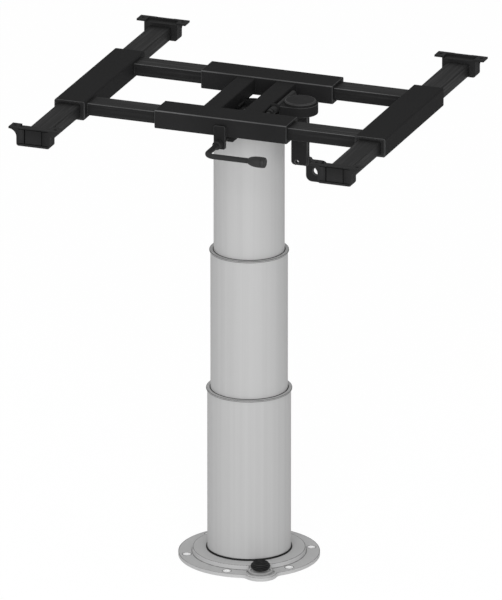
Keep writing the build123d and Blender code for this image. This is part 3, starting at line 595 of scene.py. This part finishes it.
def tidy_mesh(piece, sharp_angle, merge=HAIR):
    """Merges doubles, turns faces outwards, smooths by angle and puts the place into the mesh."""
    select_only([piece])
    bpy.ops.object.transform_apply(location=True, rotation=True, scale=True)
    bpy.ops.object.mode_set(mode="EDIT")
    bpy.ops.mesh.select_all(action="SELECT")
    bpy.ops.mesh.remove_doubles(threshold=merge)
    bpy.ops.mesh.normals_make_consistent(inside=False)
    bpy.ops.object.mode_set(mode="OBJECT")
    bpy.ops.object.shade_smooth_by_angle(angle=radians(sharp_angle))


def turned(name, centre, steps, segments):
    """A round piece on a vertical axis: a disc extruded through steps of (radius, height)."""
    radius, height = steps[0]
    piece = add_primitive(
        bpy.ops.mesh.primitive_circle_add, vertices=segments, radius=radius, fill_type="NGON",
        location=(centre.x, centre.y, height))
    piece.name = name
    bpy.ops.object.transform_apply(location=True, rotation=True, scale=True)
    bpy.ops.object.mode_set(mode="EDIT")
    bpy.ops.mesh.select_all(action="SELECT")
    for next_radius, next_height in steps[1:]:
        bpy.ops.mesh.extrude_region_move(
            TRANSFORM_OT_translate={"value": (0, 0, next_height - height)})
        factor = next_radius / radius
        bpy.ops.transform.resize(
            value=(factor, factor, 1), center_override=(centre.x, centre.y, next_height))
        radius, height = next_radius, next_height
    bpy.ops.object.mode_set(mode="OBJECT")
    return piece


def copied(piece, name):
    """A copy of a piece with its own mesh."""
    select_only([piece])
    bpy.ops.object.duplicate(linked=False)
    copy = bpy.context.object
    copy.name = name
    return copy


def joined(pieces, name):
    select_only(pieces)
    bpy.ops.object.join()
    whole = bpy.context.object
    whole.name = name
    return whole


def recast(node):
    """A copy of a CAD node with whole flat faces, which stands for that node."""
    original = nodes[node]
    select_only([original])
    bpy.ops.object.duplicate(linked=False)
    piece = bpy.context.object
    piece.name = f"{node}_soft"
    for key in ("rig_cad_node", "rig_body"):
        if key in piece:
            del piece[key]
    piece.parent = None
    bpy.ops.mesh.customdata_custom_splitnormals_clear()
    bpy.ops.object.mode_set(mode="EDIT")
    bpy.ops.mesh.select_all(action="SELECT")
    bpy.ops.mesh.remove_doubles(threshold=HAIR / 2)
    bpy.ops.mesh.dissolve_limited(angle_limit=radians(0.3))
    if "rail" in node:
        # The ring faces at the rails' ends fill in wrongly when they stay whole
        bpy.ops.mesh.vert_connect_concave()
    bpy.ops.object.mode_set(mode="OBJECT")
    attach(piece, original["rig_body"])
    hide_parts(node)
    return piece


def softened(node, width, clamp=False):
    """A recast CAD node with its sharp edges broken and coloured lighter: edge wear and a painted
    highlight.
    """
    piece = recast(node)
    # The bevel faces take slot 1, the lighter edge colour: edge wear and a painted highlight
    piece.data.materials.append(finish_named("rubbed_edge"))
    modify(piece, "BEVEL", width=width, segments=2, limit_method="ANGLE", angle_limit=EDGE_ANGLE,
           use_clamp_overlap=clamp, harden_normals=False, material=1)
    bpy.ops.object.shade_smooth_by_angle(angle=EDGE_ANGLE)
    modify(piece, "WEIGHTED_NORMAL", keep_sharp=True)
    return piece


# Operators


class COLUMN_OT_finishes(bpy.types.Operator):
    """Makes the finishes and gives every carried part its own"""

    bl_idname = "column.finishes"
    bl_label = "Finish the Carried Parts"

    def execute(self, context):
        colours = context.scene.column_colours
        drawn_tube("tube_paint", colours.tube, colours.tube_streak)
        floor_plate_paint("plate_paint", colours.floor_plate, grey(245))
        stepped_paint("housing_paint", colours.floor_plate, middle("foot_button"))
        low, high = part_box("foot_button")
        pitch = (high.z - low.z - BUTTON_CROWN) / context.scene.column_details.button_ribs
        ribbed_rubber("button_rubber", colours.rubber, low.z, pitch)
        # Near-black for the cut faces of the bracket grooves: painted shade in the grooves
        powder_coat("groove_black", shade(colours.moulded_black, 0.2), 0.0)
        for stage in ("lower", "middle"):
            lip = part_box(f"{stage}_collar")[1]
            lipped_moulding(f"{stage}_collar_moulding", colours.collar,
                            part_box(f"{stage}_tube")[1].z, lip.x, lip.z)
        powder_coat("frame_coat", colours.frame_black, 0.035)
        scuffed_coat("cross_bar_coat", colours.bar_black, (0.03, 1, 1))
        scuffed_coat("runner_coat", colours.bar_black, (1, 0.03, 1))
        moulding("bracket_moulding", colours.moulded_black, 0.12)
        moulding("glide_moulding", colours.moulded_black, 0.4, 1700)
        moulding("handle_moulding", colours.moulded_black, 0.1)
        moulding("knob_moulding", colours.moulded_black, 0.45, 2000)
        rubber("seal_rubber", colours.rubber)
        powder_coat("crank_black", shade(colours.bar_black, 1.2), 0.25)
        powder_coat("strut_black", shade(colours.frame_black, 1.1), 0.5)
        bare_metal("cast_aluminium", grey(190), 0.42, 500)
        bare_metal("bright_steel", grey(200), 0.22, 1500)
        bare_metal("zinc_steel", grey(150), 0.38, 900)
        powder_coat("blackened_steel", shade(colours.bar_black, 1.1), 0.3, 0.3)
        # Edge colour: edge wear and a painted highlight along the broken edges
        powder_coat("rubbed_edge", colours.rubbed_edge, 0.3, 0.5)
        # A lighter copy of the edge colour for the front top edge: a painted highlight
        powder_coat("handled_edge", shade(colours.rubbed_edge, 1.6), 0.3, 0.4)
        for finish_name, node_names in FINISHES.items():
            for node in node_names:
                materials = nodes[node].data.materials
                materials.clear()
                materials.append(finish_named(finish_name))
        return {"FINISHED"}


class COLUMN_OT_soft_edges(bpy.types.Operator):
    """Breaks the sharp edges of the cut, folded and moulded parts"""

    bl_idname = "column.soft_edges"
    bl_label = "Soften the Edges"

    def execute(self, context):
        width = context.scene.column_details.soft_edge
        for node in FINISHES["bracket_moulding"]:
            self.cut_panel_grooves(softened(node, width, clamp=True), node)
        for node in ("lever_bracket", "front_cross_sleeve", "rear_cross_sleeve", "left_rail",
                     "right_rail", "left_member", "right_member", *FINISHES["cross_bar_coat"],
                     *FINISHES["runner_coat"]):
            piece = softened(node, width)
            if "cross" in node:
                self.highlight_front_edge(piece)
        for node in ("cam_housing", "cam_cap"):
            softened(node, width)
        softened("cam_handle", 2.2 * width)
        for node in ("cross_glides", "rail_glides"):
            recast(node)
            bpy.ops.object.shade_smooth_by_angle(angle=radians(30))
        return {"FINISHED"}

    def highlight_front_edge(self, piece):
        """Gives the rounded top corner at the front a lighter copy of the edge colour: a painted
        highlight.
        """
        piece.data.materials.append(finish_named("handled_edge"))
        highlight_slot = len(piece.data.materials) - 1
        slope = 0.45
        for face in piece.data.polygons:
            if face.normal.y < -slope and face.normal.z > slope:
                face.material_index = highlight_slot

    def cut_panel_grooves(self, piece, node):
        """Cuts the grooves that frame the panel on a bracket's outer face; their cut faces take a
        near-black colour, painted shade.
        """
        low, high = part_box(node)
        face = low.y if low.y < 0 else high.y
        x = (low.x + high.x) / 2
        bottom = low.z + 4 * MILLIMETRE
        top = high.z - 2.5 * MILLIMETRE
        half_panel = 14 * MILLIMETRE
        across = 49 * MILLIMETRE
        wide, deep = 1.3 * MILLIMETRE, 3 * MILLIMETRE
        for place, size in (
                ((x - half_panel, face, (bottom + top) / 2), (wide, deep, top - bottom)),
                ((x + half_panel, face, (bottom + top) / 2), (wide, deep, top - bottom)),
                ((x, face, bottom), (across, deep, 0.7 * wide)),
                ((x, face, top), (across, deep, 0.7 * wide))):
            cutter = add_primitive(bpy.ops.mesh.primitive_cube_add, size=1, location=place)
            cutter.scale = size
            bpy.ops.object.transform_apply(location=True, rotation=True, scale=True)
            # The cutter's near-black colour passes to the cut faces: painted shade in the grooves
            cutter.data.materials.append(finish_named("groove_black"))
            modify(piece, "BOOLEAN", operation="DIFFERENCE", object=cutter, solver="EXACT",
                   material_mode="TRANSFER")
            bpy.data.objects.remove(cutter)
        select_only([piece])
        bpy.ops.object.shade_smooth_by_angle(angle=EDGE_ANGLE)


class COLUMN_OT_spindle_block(bpy.types.Operator):
    """Models the threaded block of the clamp spindle, with a rounded foot"""

    bl_idname = "column.spindle_block"
    bl_label = "Spindle Block"

    def execute(self, context):
        low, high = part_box("spindle_block")
        foot_radius = 8 * MILLIMETRE
        near = 0.1 * MILLIMETRE

        def in_foot_corner(vertex):
            side = min(abs(vertex.co.x - low.x), abs(vertex.co.x - high.x))
            return vertex.co.z < low.z + near and side < near

        block = recast("spindle_block")
        select_only([block])
        bpy.ops.object.mode_set(mode="EDIT")
        select_in_mesh(block, lambda edge: all(map(in_foot_corner, edge.verts)), "edges")
        bpy.ops.mesh.bevel(offset=foot_radius, segments=8)
        bpy.ops.object.mode_set(mode="OBJECT")
        bpy.ops.object.shade_smooth_by_angle(angle=radians(30))
        return {"FINISHED"}


class COLUMN_OT_foot_button(bpy.types.Operator):
    """Models the ribbed rubber button that is pressed by foot"""

    bl_idname = "column.foot_button"
    bl_label = "Foot Button"

    def rib_steps(self, low, high, widest, ribs):
        """Ribs that make a barrel: the ones above the middle are the widest."""
        pitch = (high.z - low.z - BUTTON_CROWN) / ribs
        depth = 2.2 * MILLIMETRE
        steps = [(widest - 5.2 * MILLIMETRE, low.z)]
        for rib in range(ribs):
            waist = widest - 0.75 * MILLIMETRE * (rib - ribs / 2) ** 2 - depth
            for reach, height in (
                    (0.55, 0.16), (0.9, 0.28), (1, 0.42), (1, 0.52), (0.9, 0.66), (0.45, 0.8),
                    (0, 0.92)):
                steps.append((waist + depth * reach, low.z + (rib + height) * pitch))
        return steps

    def crown_steps(self, top, radius):
        """The rounded crown with fine rings cut into its flat top."""
        rim = top - BUTTON_CROWN
        steps = [(radius + out * MILLIMETRE, height) for out, height in (
            (-0.1, rim), (0.1, rim + 1.2 * MILLIMETRE), (-0.5, rim + 2.1 * MILLIMETRE),
            (-1.6, top))]
        floor = top - 0.5 * MILLIMETRE
        pitch = 2.2 * MILLIMETRE
        ring = radius - 2.4 * MILLIMETRE
        while ring > pitch:
            steps += [(ring - share * pitch / 2, height) for share, height in (
                (0, top), (0.25 / 1.1, floor), (0.85 / 1.1, floor), (1, top))]
            ring -= pitch
        return steps + [(0.2 * MILLIMETRE, top)]

    def execute(self, context):
        low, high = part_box("foot_button")
        widest = (high.x - low.x) / 2
        steps = self.rib_steps(low, high, widest, context.scene.column_details.button_ribs)
        steps += self.crown_steps(high.z, widest - 3 * MILLIMETRE)
        button = turned("ribbed_foot_button", middle("foot_button"), steps, 72)
        tidy_mesh(button, sharp_angle=50)
        dress(button, "button_rubber", "foot_button")
        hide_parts("foot_button")
        return {"FINISHED"}


class COLUMN_OT_ring_seals(bpy.types.Operator):
    """Models the rubber ring at the foot of the column and the wipers at the tube mouths"""

    bl_idname = "column.ring_seals"
    bl_label = "Ring Seals"

    def ring(self, name, radius, section, bottom, body, rise=1):
        """A ring with a flat foot and a round back, made taller by a rise."""
        ring = add_primitive(
            bpy.ops.mesh.primitive_torus_add, major_radius=radius, minor_radius=section,
            major_segments=144, minor_segments=14, location=(0, 0, bottom))
        ring.name = name
        bpy.ops.object.transform_apply(location=True, rotation=True, scale=True)
        bpy.ops.object.mode_set(mode="EDIT")
        select_in_mesh(ring, lambda vertex: vertex.co.z < bottom + HAIR, "verts")
        bpy.ops.transform.resize(value=(1, 1, 0), center_override=(0, 0, bottom))
        bpy.ops.mesh.select_all(action="SELECT")
        bpy.ops.transform.resize(value=(1, 1, rise), center_override=(0, 0, bottom))
        bpy.ops.object.mode_set(mode="OBJECT")
        tidy_mesh(ring, sharp_angle=60, merge=HAIR / 10)
        dress(ring, "seal_rubber", body)
        return ring

    def execute(self, context):
        low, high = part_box("foot_seal")
        tube_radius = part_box("lower_tube")[1].x
        section = (high.x - tube_radius) / 2
        seal = self.ring("foot_seal_ring", tube_radius + section, section, low.z, "base", rise=2.8)
        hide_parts("foot_seal")
        wiper = 0.6 * MILLIMETRE
        gap = 0.12 * MILLIMETRE
        for stage, inner, body in (
                ("lower", "middle", "base"), ("middle", "upper", "middle_stage")):
            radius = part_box(f"{inner}_tube")[1].x + wiper + gap
            self.ring(f"{stage}_wiper", radius, wiper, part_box(f"{stage}_collar")[1].z, body)
        return {"FINISHED"}


class COLUMN_OT_lever_knob(bpy.types.Operator):
    """Models the moulded knob of the crank with its end cap"""

    bl_idname = "column.lever_knob"
    bl_label = "Lever Knob"

    def execute(self, context):
        low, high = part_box("lever_knob")
        centre = middle("lever_knob")
        length = high.x - low.x
        radius = (high.z - low.z) / 2
        cap = 0.78 * length
        groove = 0.5 * MILLIMETRE
        profile = [
            (0.5, 0), (0.56, 0.015 * length), (0.7, 0.08 * length), (0.82, 0.17 * length),
            (0.91, 0.28 * length), (0.97, 0.4 * length), (1, 0.52 * length), (1, cap - groove),
            (0.93, cap), (0.93, cap + groove), (1, cap + 1.6 * groove), (0.99, 0.89 * length),
            (0.93, 0.96 * length), (0.82, 0.995 * length), (0.7, length),
            (0.62, length - 0.2 * groove), (0.58, length - groove),
            (0.05, length - 1.1 * groove)]
        knob = turned("crank_knob", Vector((0, 0, 0)),
                      [(radius * share, height) for share, height in profile], 56)
        knob.rotation_euler = (0, pi / 2, 0)
        knob.location = (low.x, centre.y, centre.z)
        tidy_mesh(knob, sharp_angle=40)
        dress(knob, "knob_moulding", "crank_lever")
        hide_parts("lever_knob")
        return {"FINISHED"}


class COLUMN_OT_brake_spring(bpy.types.Operator):
    """Models the spring on the brake rod, with a closed turn at each end"""

    bl_idname = "column.brake_spring"
    bl_label = "Brake Spring"

    def coil(self, start, length, turns, radius, wire):
        """Turns of wire along +Z from a wire's round section."""
        section = add_primitive(
            bpy.ops.mesh.primitive_circle_add, vertices=10, radius=wire, fill_type="NOTHING",
            location=(radius, 0, start), rotation=(pi / 2, 0, 0))
        bpy.ops.object.transform_apply(location=True, rotation=True, scale=True)
        modify(section, "SCREW", axis="Z", angle=2 * pi * turns, screw_offset=length,
               steps=30 * turns, render_steps=30 * turns, use_smooth_shade=True)
        return section

    def execute(self, context):
        details = context.scene.column_details
        low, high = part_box("brake_spring")
        centre = middle("brake_spring")
        wire = details.spring_wire
        radius = (high.x - low.x) / 2 - wire
        pitch = 2.1 * wire
        length = high.y - low.y - 2 * wire
        coils = [
            self.coil(wire, pitch, 1, radius, wire),
            self.coil(wire + pitch, length - 2 * pitch, details.spring_turns, radius, wire),
            self.coil(wire + length - pitch, pitch, 1, radius, wire)]
        spring = joined(coils, "brake_spring_coil")
        bpy.ops.object.mode_set(mode="EDIT")
        bpy.ops.mesh.select_all(action="SELECT")
        bpy.ops.mesh.remove_doubles(threshold=HAIR)
        bpy.ops.mesh.select_mode(type="EDGE")
        bpy.ops.mesh.select_all(action="DESELECT")
        bpy.ops.mesh.select_non_manifold()
        bpy.ops.mesh.edge_face_add()
        bpy.ops.object.mode_set(mode="OBJECT")
        spring.rotation_euler = (-pi / 2, 0, 0)
        spring.location = (centre.x, low.y, centre.z)
        tidy_mesh(spring, sharp_angle=50)
        dress(spring, "blackened_steel", "head")
        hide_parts("brake_spring")
        return {"FINISHED"}


def socket_screw(name, radius, height, socket_radius):
    """A screw head with a rounded edge and a hexagon socket, standing on the origin."""
    head = turned(name, Vector((0, 0, 0)), [
        (0.9 * radius, -0.8 * height), (0.9 * radius, 0.02 * height), (0.97 * radius, 0),
        (radius, 0.15 * height), (radius, 0.6 * height), (0.94 * radius, 0.85 * height),
        (0.82 * radius, height), (0.05 * radius, height)], 40)
    cutter = add_primitive(
        bpy.ops.mesh.primitive_cylinder_add, vertices=6, radius=socket_radius, depth=1.2 * height,
        location=(0, 0, height))
    modify(head, "BOOLEAN", operation="DIFFERENCE", object=cutter, solver="EXACT")
    bpy.data.objects.remove(cutter)
    return head


class COLUMN_OT_screw_heads(bpy.types.Operator):
    """Models the socket screws of the end brackets and of the button housing"""

    bl_idname = "column.screw_heads"
    bl_label = "Screw Heads"

    def finish_heads(self, heads, name, finish_name, body, slot, replaced):
        whole = joined(heads, name)
        tidy_mesh(whole, sharp_angle=30)
        dress(whole, finish_name, body)
        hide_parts(replaced)

    def bracket_heads(self, socket_radius):
        """Two heads on each side of a runner's end, for both runners."""
        head_height = 1.5 * MILLIMETRE
        inset = 3.6 * MILLIMETRE
        model = socket_screw("screw_model", 3.5 * MILLIMETRE, head_height, socket_radius)
        for side in ("left", "right"):
            low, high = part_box(f"{side}_bracket_screws")
            height = middle(f"{side}_runner").z
            heads = []
            for x, outwards in ((low.x, -1), (high.x, 1)):
                for y in (low.y + inset, high.y - inset):
                    head = copied(model, f"{side}_screw_head")
                    head.rotation_euler = (0, outwards * pi / 2, 0)
                    head.location = (x - outwards * head_height, y, height)
                    heads.append(head)
            self.finish_heads(heads, f"{side}_bracket_screw_heads", "blackened_steel",
                              f"{side}_runner", "dark_steel", f"{side}_bracket_screws")
        bpy.data.objects.remove(model)

    def housing_heads(self):
        """Two heads on the button housing, on a line across it."""
        head_height = 1.1 * MILLIMETRE
        model = socket_screw("small_screw", 2.15 * MILLIMETRE, head_height, 0.9 * MILLIMETRE)
        low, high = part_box("button_screws")
        margin = 2.2 * MILLIMETRE
        reach = Vector((high.x - low.x, high.y - low.y)) / 2 - Vector((margin, margin))
        button = middle("foot_button")
        radial = Vector((button.x, button.y)).normalized()
        across = Vector((-radial.y, radial.x))
        angle = radians(80)
        step = (radial * cos(angle) + across * sin(angle)) * reach.length
        heads = []
        for side in (-1, 1):
            head = copied(model, "housing_screw_head")
            head.location = (button.x + side * step.x, button.y + side * step.y,
                             high.z - head_height)
            heads.append(head)
        bpy.data.objects.remove(model)
        self.finish_heads(
            heads, "housing_screw_heads", "zinc_steel", "base", "steel", "button_screws")

    def execute(self, context):
        self.bracket_heads(context.scene.column_details.screw_socket)
        self.housing_heads()
        return {"FINISHED"}


class COLUMN_OT_weld_beads(bpy.types.Operator):
    """Models the painted weld beads that join the tubes and brackets of the table frame"""

    bl_idname = "column.weld_beads"
    bl_label = "Weld Beads"

    def bead(self, name, start, end):
        """Flattened scales along a seam, fused into one ripple."""
        details = self.details
        seam = end - start
        scale = add_primitive(
            bpy.ops.mesh.primitive_uv_sphere_add, segments=12, ring_count=8,
            radius=details.bead_radius)
        bpy.ops.object.mode_set(mode="EDIT")
        bpy.ops.mesh.select_all(action="SELECT")
        bpy.ops.transform.resize(value=(1, 1, 0.75), center_override=(0, 0, 0))
        select_in_mesh(
            scale, lambda face: face.calc_center_median().z > 0.6 * details.bead_radius, "faces")
        bpy.ops.mesh.bevel(offset=0.1 * details.bead_radius, segments=1)
        bpy.ops.object.mode_set(mode="OBJECT")
        count = max(2, int(seam.length / details.bead_pitch))
        modify(scale, "ARRAY", count=count, use_relative_offset=False, use_constant_offset=True,
               constant_offset_displace=(0, 0, seam.length / (count - 1)))
        modify(scale, "REMESH", mode="VOXEL", voxel_size=0.32 * MILLIMETRE, use_smooth_shade=True)
        modify(scale, "SMOOTH", factor=0.5, iterations=2)
        scale.rotation_euler = seam.to_track_quat("Z", "Y").to_euler()
        scale.location = start
        scale.name = name
        tidy_mesh(scale, sharp_angle=80, merge=HAIR / 10)
        return scale

    def execute(self, context):
        self.details = context.scene.column_details
        sleeve_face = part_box("rear_cross_sleeve")[0].y
        margin = self.details.bead_radius
        beads = []
        for node in ("left_member", "right_member"):
            low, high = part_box(node)
            for end in (-sleeve_face, sleeve_face):
                for x in (low.x, high.x):
                    beads.append(self.bead("member_weld", Vector((x, end, low.z + margin)),
                                           Vector((x, end, high.z - margin))))
        low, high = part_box("lever_bracket")
        sleeve_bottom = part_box("front_cross_sleeve")[0].z
        for x in (low.x, high.x):
            beads.append(self.bead("bracket_weld", Vector((x, high.y, sleeve_bottom + 2 * margin)),
                                   Vector((x, high.y, high.z - 2 * margin))))
        low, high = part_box("cam_housing")
        foot_top = low.z + 2 * margin
        beads.append(self.bead("housing_weld", Vector((low.x, low.y + margin, foot_top)),
                               Vector((low.x, high.y - margin, foot_top))))
        welds = joined(beads, "frame_weld_beads")
        dress(welds, "frame_coat", "head")
        return {"FINISHED"}


def heading(azimuth, elevation):
    """Direction to a place at an azimuth to the right of the front and at an elevation."""
    return Vector((
        sin(azimuth) * cos(elevation), -cos(azimuth) * cos(elevation), sin(elevation)))


class COLUMN_OT_stage(bpy.types.Operator):
    """Sets the floor, the even light, the soft lamps and the camera"""

    bl_idname = "column.stage"
    bl_label = "Stage"

    def execute(self, context):
        settings = context.scene.column_stage
        floor = add_primitive(bpy.ops.mesh.primitive_plane_add, size=FLOOR_SIZE, location=(0, 0, 0))
        floor.name = "studio_floor"
        finish = Finish("studio_floor", Roughness=1.0, Specular_IOR_Level=0.0)
        finish.shader.inputs["Base Color"].default_value = (0.93, 0.93, 0.93, 1)
        path = finish.node("ShaderNodeLightPath", {}, {})
        paper = finish.node("ShaderNodeEmission", {}, {"Color": (1, 1, 1, 1), "Strength": 1.04})
        seen = Wire(finish.tree, path.outputs["Is Camera Ray"])
        mixed = finish.node("ShaderNodeMixShader", {}, {0: 0.9 * seen})
        finish.tree.links.new(finish.shader.outputs[0], mixed.inputs[1])
        finish.tree.links.new(paper.outputs[0], mixed.inputs[2])
        finish.tree.links.new(mixed.outputs[0], finish.tree.nodes["Material Output"].inputs[0])
        floor.data.materials.append(finish.material)

        world = bpy.data.worlds.new("studio_world")
        context.scene.world = world
        world.use_nodes = True
        tree = world.node_tree
        background = tree.nodes["Background"]
        background.inputs["Color"].default_value = (1, 1, 1, 1)
        rays = tree.nodes.new("ShaderNodeLightPath")
        camera_ray = Wire(tree, rays.outputs["Is Camera Ray"])
        tree.links.new((settings.world_level + (1 - settings.world_level) * camera_ray).socket,
                       background.inputs["Strength"])

        for name, azimuth, elevation, share, size in LAMPS:
            direction = heading(radians(azimuth), radians(elevation))
            bpy.ops.object.light_add(type="AREA", location=AIM + LAMP_DISTANCE * direction)
            lamp = context.object
            lamp.name = name
            lamp.data.size = size
            lamp.visible_camera = False
            lamp.data.energy = settings.lamp_power * share
            lamp.rotation_euler = direction.to_track_quat("Z", "Y").to_euler()

        direction = heading(settings.azimuth, settings.elevation)
        right = Vector((cos(settings.azimuth), sin(settings.azimuth), 0))
        bpy.ops.object.camera_add(
            location=AIM + AIM_SHIFT * right + settings.distance * direction)
        camera = context.object
        camera.rotation_euler = direction.to_track_quat("Z", "Y").to_euler()
        camera.data.sensor_width = SENSOR_WIDTH
        camera.data.lens = SENSOR_WIDTH * settings.distance / settings.view_height
        camera.data.clip_start = 1
        camera.data.clip_end = 200
        context.scene.camera = camera
        context.scene.view_settings.view_transform = "Standard"
        return {"FINISHED"}


OPERATORS = (
    COLUMN_OT_finishes, COLUMN_OT_soft_edges, COLUMN_OT_spindle_block, COLUMN_OT_foot_button,
    COLUMN_OT_ring_seals, COLUMN_OT_lever_knob, COLUMN_OT_brake_spring, COLUMN_OT_screw_heads,
    COLUMN_OT_weld_beads, COLUMN_OT_stage)


class COLUMN_PT_dressing(bpy.types.Panel):
    """Lists the column's colours, details, pieces and stage"""

    bl_idname = "COLUMN_PT_dressing"
    bl_label = "Lifting Column"
    bl_space_type = "VIEW_3D"
    bl_region_type = "UI"
    bl_category = "Column"

    def draw(self, context):
        scene = context.scene
        for title, settings in (
                ("Colours", scene.column_colours), ("Details", scene.column_details),
                ("Stage", scene.column_stage)):
            box = self.layout.box()
            box.label(text=title)
            for name in settings.__annotations__:
                box.prop(settings, name)
        for operator in OPERATORS:
            self.layout.operator(operator.bl_idname)


CLASSES = (ColumnColours, ColumnDetails, ColumnStage, *OPERATORS, COLUMN_PT_dressing)


def register():
    for item in CLASSES:
        bpy.utils.register_class(item)
    bpy.types.Scene.column_colours = bpy.props.PointerProperty(type=ColumnColours)
    bpy.types.Scene.column_details = bpy.props.PointerProperty(type=ColumnDetails)
    bpy.types.Scene.column_stage = bpy.props.PointerProperty(type=ColumnStage)


def unregister():
    del bpy.types.Scene.column_stage
    del bpy.types.Scene.column_details
    del bpy.types.Scene.column_colours
    for item in reversed(CLASSES):
        bpy.utils.unregister_class(item)


def main():
    register()
    for operator in OPERATORS:
        _, name = operator.bl_idname.split(".")
        getattr(bpy.ops.column, name)()


if __name__ == "__main__":
    main()
